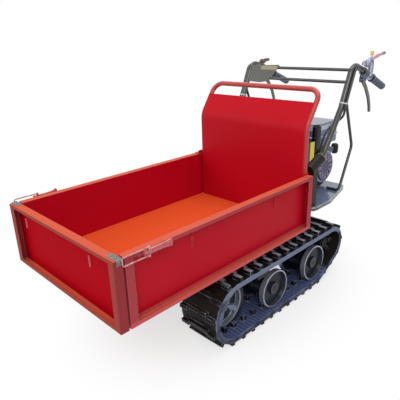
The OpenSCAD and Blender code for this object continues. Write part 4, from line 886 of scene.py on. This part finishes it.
turned_fitting("crankcase_cover", cover_mm, in_frame(case_face, crank_y_mm, crank_z_mm), belt_side,
               "carrier", casting, sides=48)
for k, bolt_place in enumerate(six_round_crank(bolt_face, bolt_circle)):
    turned_fitting(f"cover_bolt_{k}", bolt_mm, bolt_place, belt_side, "carrier", zinc, hexagon)
turned_fitting("oil_filler", filler_mm, in_frame(filler_x, case_rear, filler_z), filler_lean,
               "carrier", plastic, sides=20)
turned_fitting("drain_bolt", bolt_mm, in_frame(drain_x, case_rear, drain_z), rearward,
               "carrier", zinc, hexagon)
for k, y in enumerate(foot_y):
    turned_fitting(f"engine_bolt_{k}", bolt_mm, in_frame(foot_x, y, platform_top), upward,
                   "carrier", zinc, hexagon)
print("crankcase fittings on the face at", case_face, "mm")

# %% [markdown]
# A latch lever is pressed from strip, with a rounded handle that flares and turns out at its end
# for the fingers. A flat bar would look like a stand-in, so the handle is swept: an oval section is
# carried along a smooth line of stations, each with its place, half width and half height. Between
# two stations the line is a cubic, which passes through every station without a kink.

# %% Sweeping an oval
def between_stations(a, b, c, d, t):
    return tuple(0.5 * (2 * q + (r - p) * t + (2 * p - 5 * q + 4 * r - u) * t * t
                        + (3 * q - p - 3 * r + u) * t ** 3)
                 for p, q, r, u in zip(a, b, c, d))


def swept_handle(name, stations_mm, sign, body, finish, sides=20, steps=5):
    ends = [stations_mm[0]] + stations_mm + [stations_mm[-1]]
    rows = [between_stations(*ends[k:k + 4], step / steps)
            for k in range(len(stations_mm) - 1) for step in range(steps)] + [stations_mm[-1]]
    line = [in_frame(sign * x, y, z) for x, y, z, _, _ in rows]
    turns = [2 * math.pi * j / sides for j in range(sides)]
    shape = bmesh.new()
    rings = []
    for k, (centre, (*_, half_width, half_height)) in enumerate(zip(line, rows)):
        along = (line[min(k + 1, len(line) - 1)] - line[max(k - 1, 0)]).normalized()
        across = along.cross(Vector((0, 0, 1))).normalized()
        lift = across.cross(along)
        rings.append([shape.verts.new(centre + across * half_width * MM * math.cos(turn)
                                      + lift * half_height * MM * math.sin(turn))
                      for turn in turns])
    for low, high in zip(rings, rings[1:]):
        for j in range(sides):
            shape.faces.new((low[j], low[(j + 1) % sides], high[(j + 1) % sides], high[j]))
    shape.faces.new(rings[0])
    shape.faces.new(rings[-1])
    bmesh.ops.recalc_face_normals(shape, faces=shape.faces)
    return mesh_piece(shape, name, body, finish)


print("sweep ready")

# %% [markdown]
# The handle lies along the panel's top edge and its end turns away from the panel. The right one is
# the left one mirrored.

# %% Latch handles
handle_mm = [(339, 118, 557, 1.5, 4), (339, 121, 557, 4.2, 8.2), (339, 145, 557.3, 4.2, 8.4),
             (339.4, 162, 557.6, 4.2, 8.6), (341.4, 178, 558.5, 4.2, 9.2),
             (343.6, 188, 560, 4.0, 10.6), (344.2, 192.5, 561, 3.2, 9.5),
             (344.2, 195, 561.5, 1.2, 6)]
for side, sign in SIDES:
    handle = swept_handle("latch_handle_" + side, handle_mm, sign, "latch_lever_" + side, lever_red)
    print(handle.name, len(handle.data.polygons), "faces")

# %% [markdown]
# The sleeves that hold the arms have a pressed dust ring at their mouth, whose paint has worn to a
# tan primer. It is a flat ring, so it is turned like the other fittings, square to the arm's line.

# %% Sleeve rings
# worn primer is a dull tan
tan_primer = surface("worn_tan_primer", "#A98F6C", "#7E6A50", roughness=0.5, specular=0.3,
                     patch_mm=20, grain_mm=1.0, bump_mm=0.04)
ring_mm = [(13.4, 0), (24.2, 0), (24.9, 1.6), (24.2, 3.2), (13.4, 3.2), (13.4, 0)]
arm_x, sleeve_mm = 280, 84.1
arm_foot, arm_first = Vector((0, 1030, 570)), Vector((0, 1124, 609))
arm_line = (arm_first - arm_foot).normalized()
mouth = arm_foot + arm_line * sleeve_mm
for side, sign in SIDES:
    turned_fitting("sleeve_ring_" + side, ring_mm, in_frame(sign * arm_x, mouth.y, mouth.z),
                   arm_line, "carrier", tan_primer, sides=40)
print("sleeve rings at", [round(v) for v in mouth])

# %% [markdown]
# The muffler has a pressed guard plate on its outer face, which keeps hands off the hot steel. Its
# rear end carries a plain yellow band. The plate is a bent sheet with cut corners, so it is drawn
# as a grid and thickened by a modifier. Each row of the grid has its place along the machine and how
# far it stands out.

# %% Muffler guard
guard_x, guard_low, guard_mid, guard_high, corner_mm = 201, 546, 600, 652, 6
guard_rows = [(1108, 0), (1148, 0), (1154, 1), (1181, 2), (1186, 1.5), (1188, 0)]
yellow_band = ((190, 1151, 536), (215, 1182, 662), "#E3D51E")
# the guard is dark grey enamel with pale edges
guard_enamel = surface("guard_sheet_enamel", "#3A3B40", "#2C2D31", roughness=0.4,
                       patch_mm=40, grain_mm=1.0, bump_mm=0.03, edge_wear_and_highlight="#8A8C92",
                       painted=[yellow_band])
shape = bmesh.new()
grid = []
for k, (y, out_mm) in enumerate(guard_rows):
    cut = corner_mm if k in (0, len(guard_rows) - 1) else 0
    heights = (guard_low + cut, guard_low + corner_mm + cut / 2, guard_mid,
               guard_high - corner_mm - cut / 2, guard_high - cut)
    grid.append([shape.verts.new(in_frame(guard_x + out_mm, y, z)) for z in heights])
for a, b in zip(grid, grid[1:]):
    for k in range(len(a) - 1):
        shape.faces.new((a[k], b[k], b[k + 1], a[k + 1]))
bmesh.ops.recalc_face_normals(shape, faces=shape.faces)
guard = mesh_piece(shape, "muffler_guard", "carrier", guard_enamel, smooth=False, thick_mm=1.2)
print("guard", len(guard.data.polygons), "faces")

# %% [markdown]
# The stage is a pale floor under broad soft lamps. What the camera and the shiny metals see behind
# the machine is plain white; what lights the machine is set apart from that, so the colours stay as
# they are written. More light would also whiten the floor, but it would bleach the machine. The
# floor keeps the machine's shadow close round the tracks and turns to the plain white of the
# background further out.

# %% Floor
def seen_directly(tree):
    ray = add(tree, "ShaderNodeLightPath").outputs
    seen = add(tree, "ShaderNodeMath", {0: ray["Is Camera Ray"], 1: ray["Is Glossy Ray"]},
               operation="MAXIMUM")
    return add(tree, "ShaderNodeMath", {0: seen, 1: ray["Is Transmission Ray"]},
               operation="MAXIMUM")


floor_size, floor_drop = 30.0, 0.0005
shadow_half_x, shadow_half_y = 0.55, 0.75
floor = bpy.data.objects.new("floor", bpy.data.meshes.new("floor"))
square = bmesh.new()
bmesh.ops.create_grid(square, x_segments=1, y_segments=1, size=floor_size / 2)
square.to_mesh(floor.data)
square.free()
floor.location.z = -floor_drop
bpy.context.scene.collection.objects.link(floor)

# a matt, nearly white floor
material, tree = new_tree("pale_studio_floor")
place = add(tree, "ShaderNodeTexCoord")
oval = add(tree, "ShaderNodeVectorMath",
           {0: place.outputs["Object"], 1: (1 / shadow_half_x, 1 / shadow_half_y, 0.0)},
           operation="MULTIPLY")
away = add(tree, "ShaderNodeVectorMath", {0: oval}, operation="LENGTH")
white = add(tree, "ShaderNodeMapRange",
            {"Value": away, "From Min": 0.62, "From Max": 1.2, "To Min": 0.66, "To Max": 1.0},
            interpolation_type="SMOOTHSTEP")
share = add(tree, "ShaderNodeMath", {0: seen_directly(tree), 1: white}, operation="MULTIPLY")
matt = add(tree, "ShaderNodeBsdfDiffuse", {"Color": linear("#F2F2F2")})
glow = add(tree, "ShaderNodeEmission", {"Color": (1, 1, 1, 1), "Strength": 1.0})
mixed = add(tree, "ShaderNodeMixShader", {0: share, 1: matt, 2: glow})
add(tree, "ShaderNodeOutputMaterial", {"Surface": mixed})
floor.data.materials.append(material)
print("floor", floor_size, "m square")

# %% [markdown]
# The world lights the machine at half strength from all sides and looks plain white when it is seen.
# Three round lamps add the rest: a key from the front left, a fill from the front right and one from
# above. Big lamps are chosen because small ones would draw hard shadows.

# %% World and lamps
light_strength, seen_strength = 0.5, 1.0
world = bpy.data.worlds.new("studio")
bpy.context.scene.world = world
world.use_nodes = True
tree = world.node_tree
tree.nodes.clear()
strength = add(tree, "ShaderNodeMapRange",
               {"Value": seen_directly(tree), "To Min": light_strength, "To Max": seen_strength})
sky = add(tree, "ShaderNodeBackground", {"Color": (1, 1, 1, 1), "Strength": strength})
add(tree, "ShaderNodeOutputWorld", {"Surface": sky})

target = Vector((0.0, 0.0, 0.45))
lamps = (("key_lamp", (2.6, -2.4, 3.2), 2.4, 80),
         ("fill_lamp", (-2.2, -3.0, 2.2), 2.6, 42),
         ("top_lamp", (0.2, 0.4, 4.2), 3.0, 62))
for name, lamp_place, size, power in lamps:
    lamp = bpy.data.objects.new(name, bpy.data.lights.new(name, "AREA"))
    lamp.data.shape = "DISK"
    lamp.data.size = size
    lamp.data.energy = power
    lamp.location = lamp_place
    lamp.rotation_euler = (target - Vector(lamp_place)).to_track_quat("-Z", "Y").to_euler()
    bpy.context.scene.collection.objects.link(lamp)
bpy.context.scene.view_settings.view_transform = "Standard"
print("lamps", len(lamps))
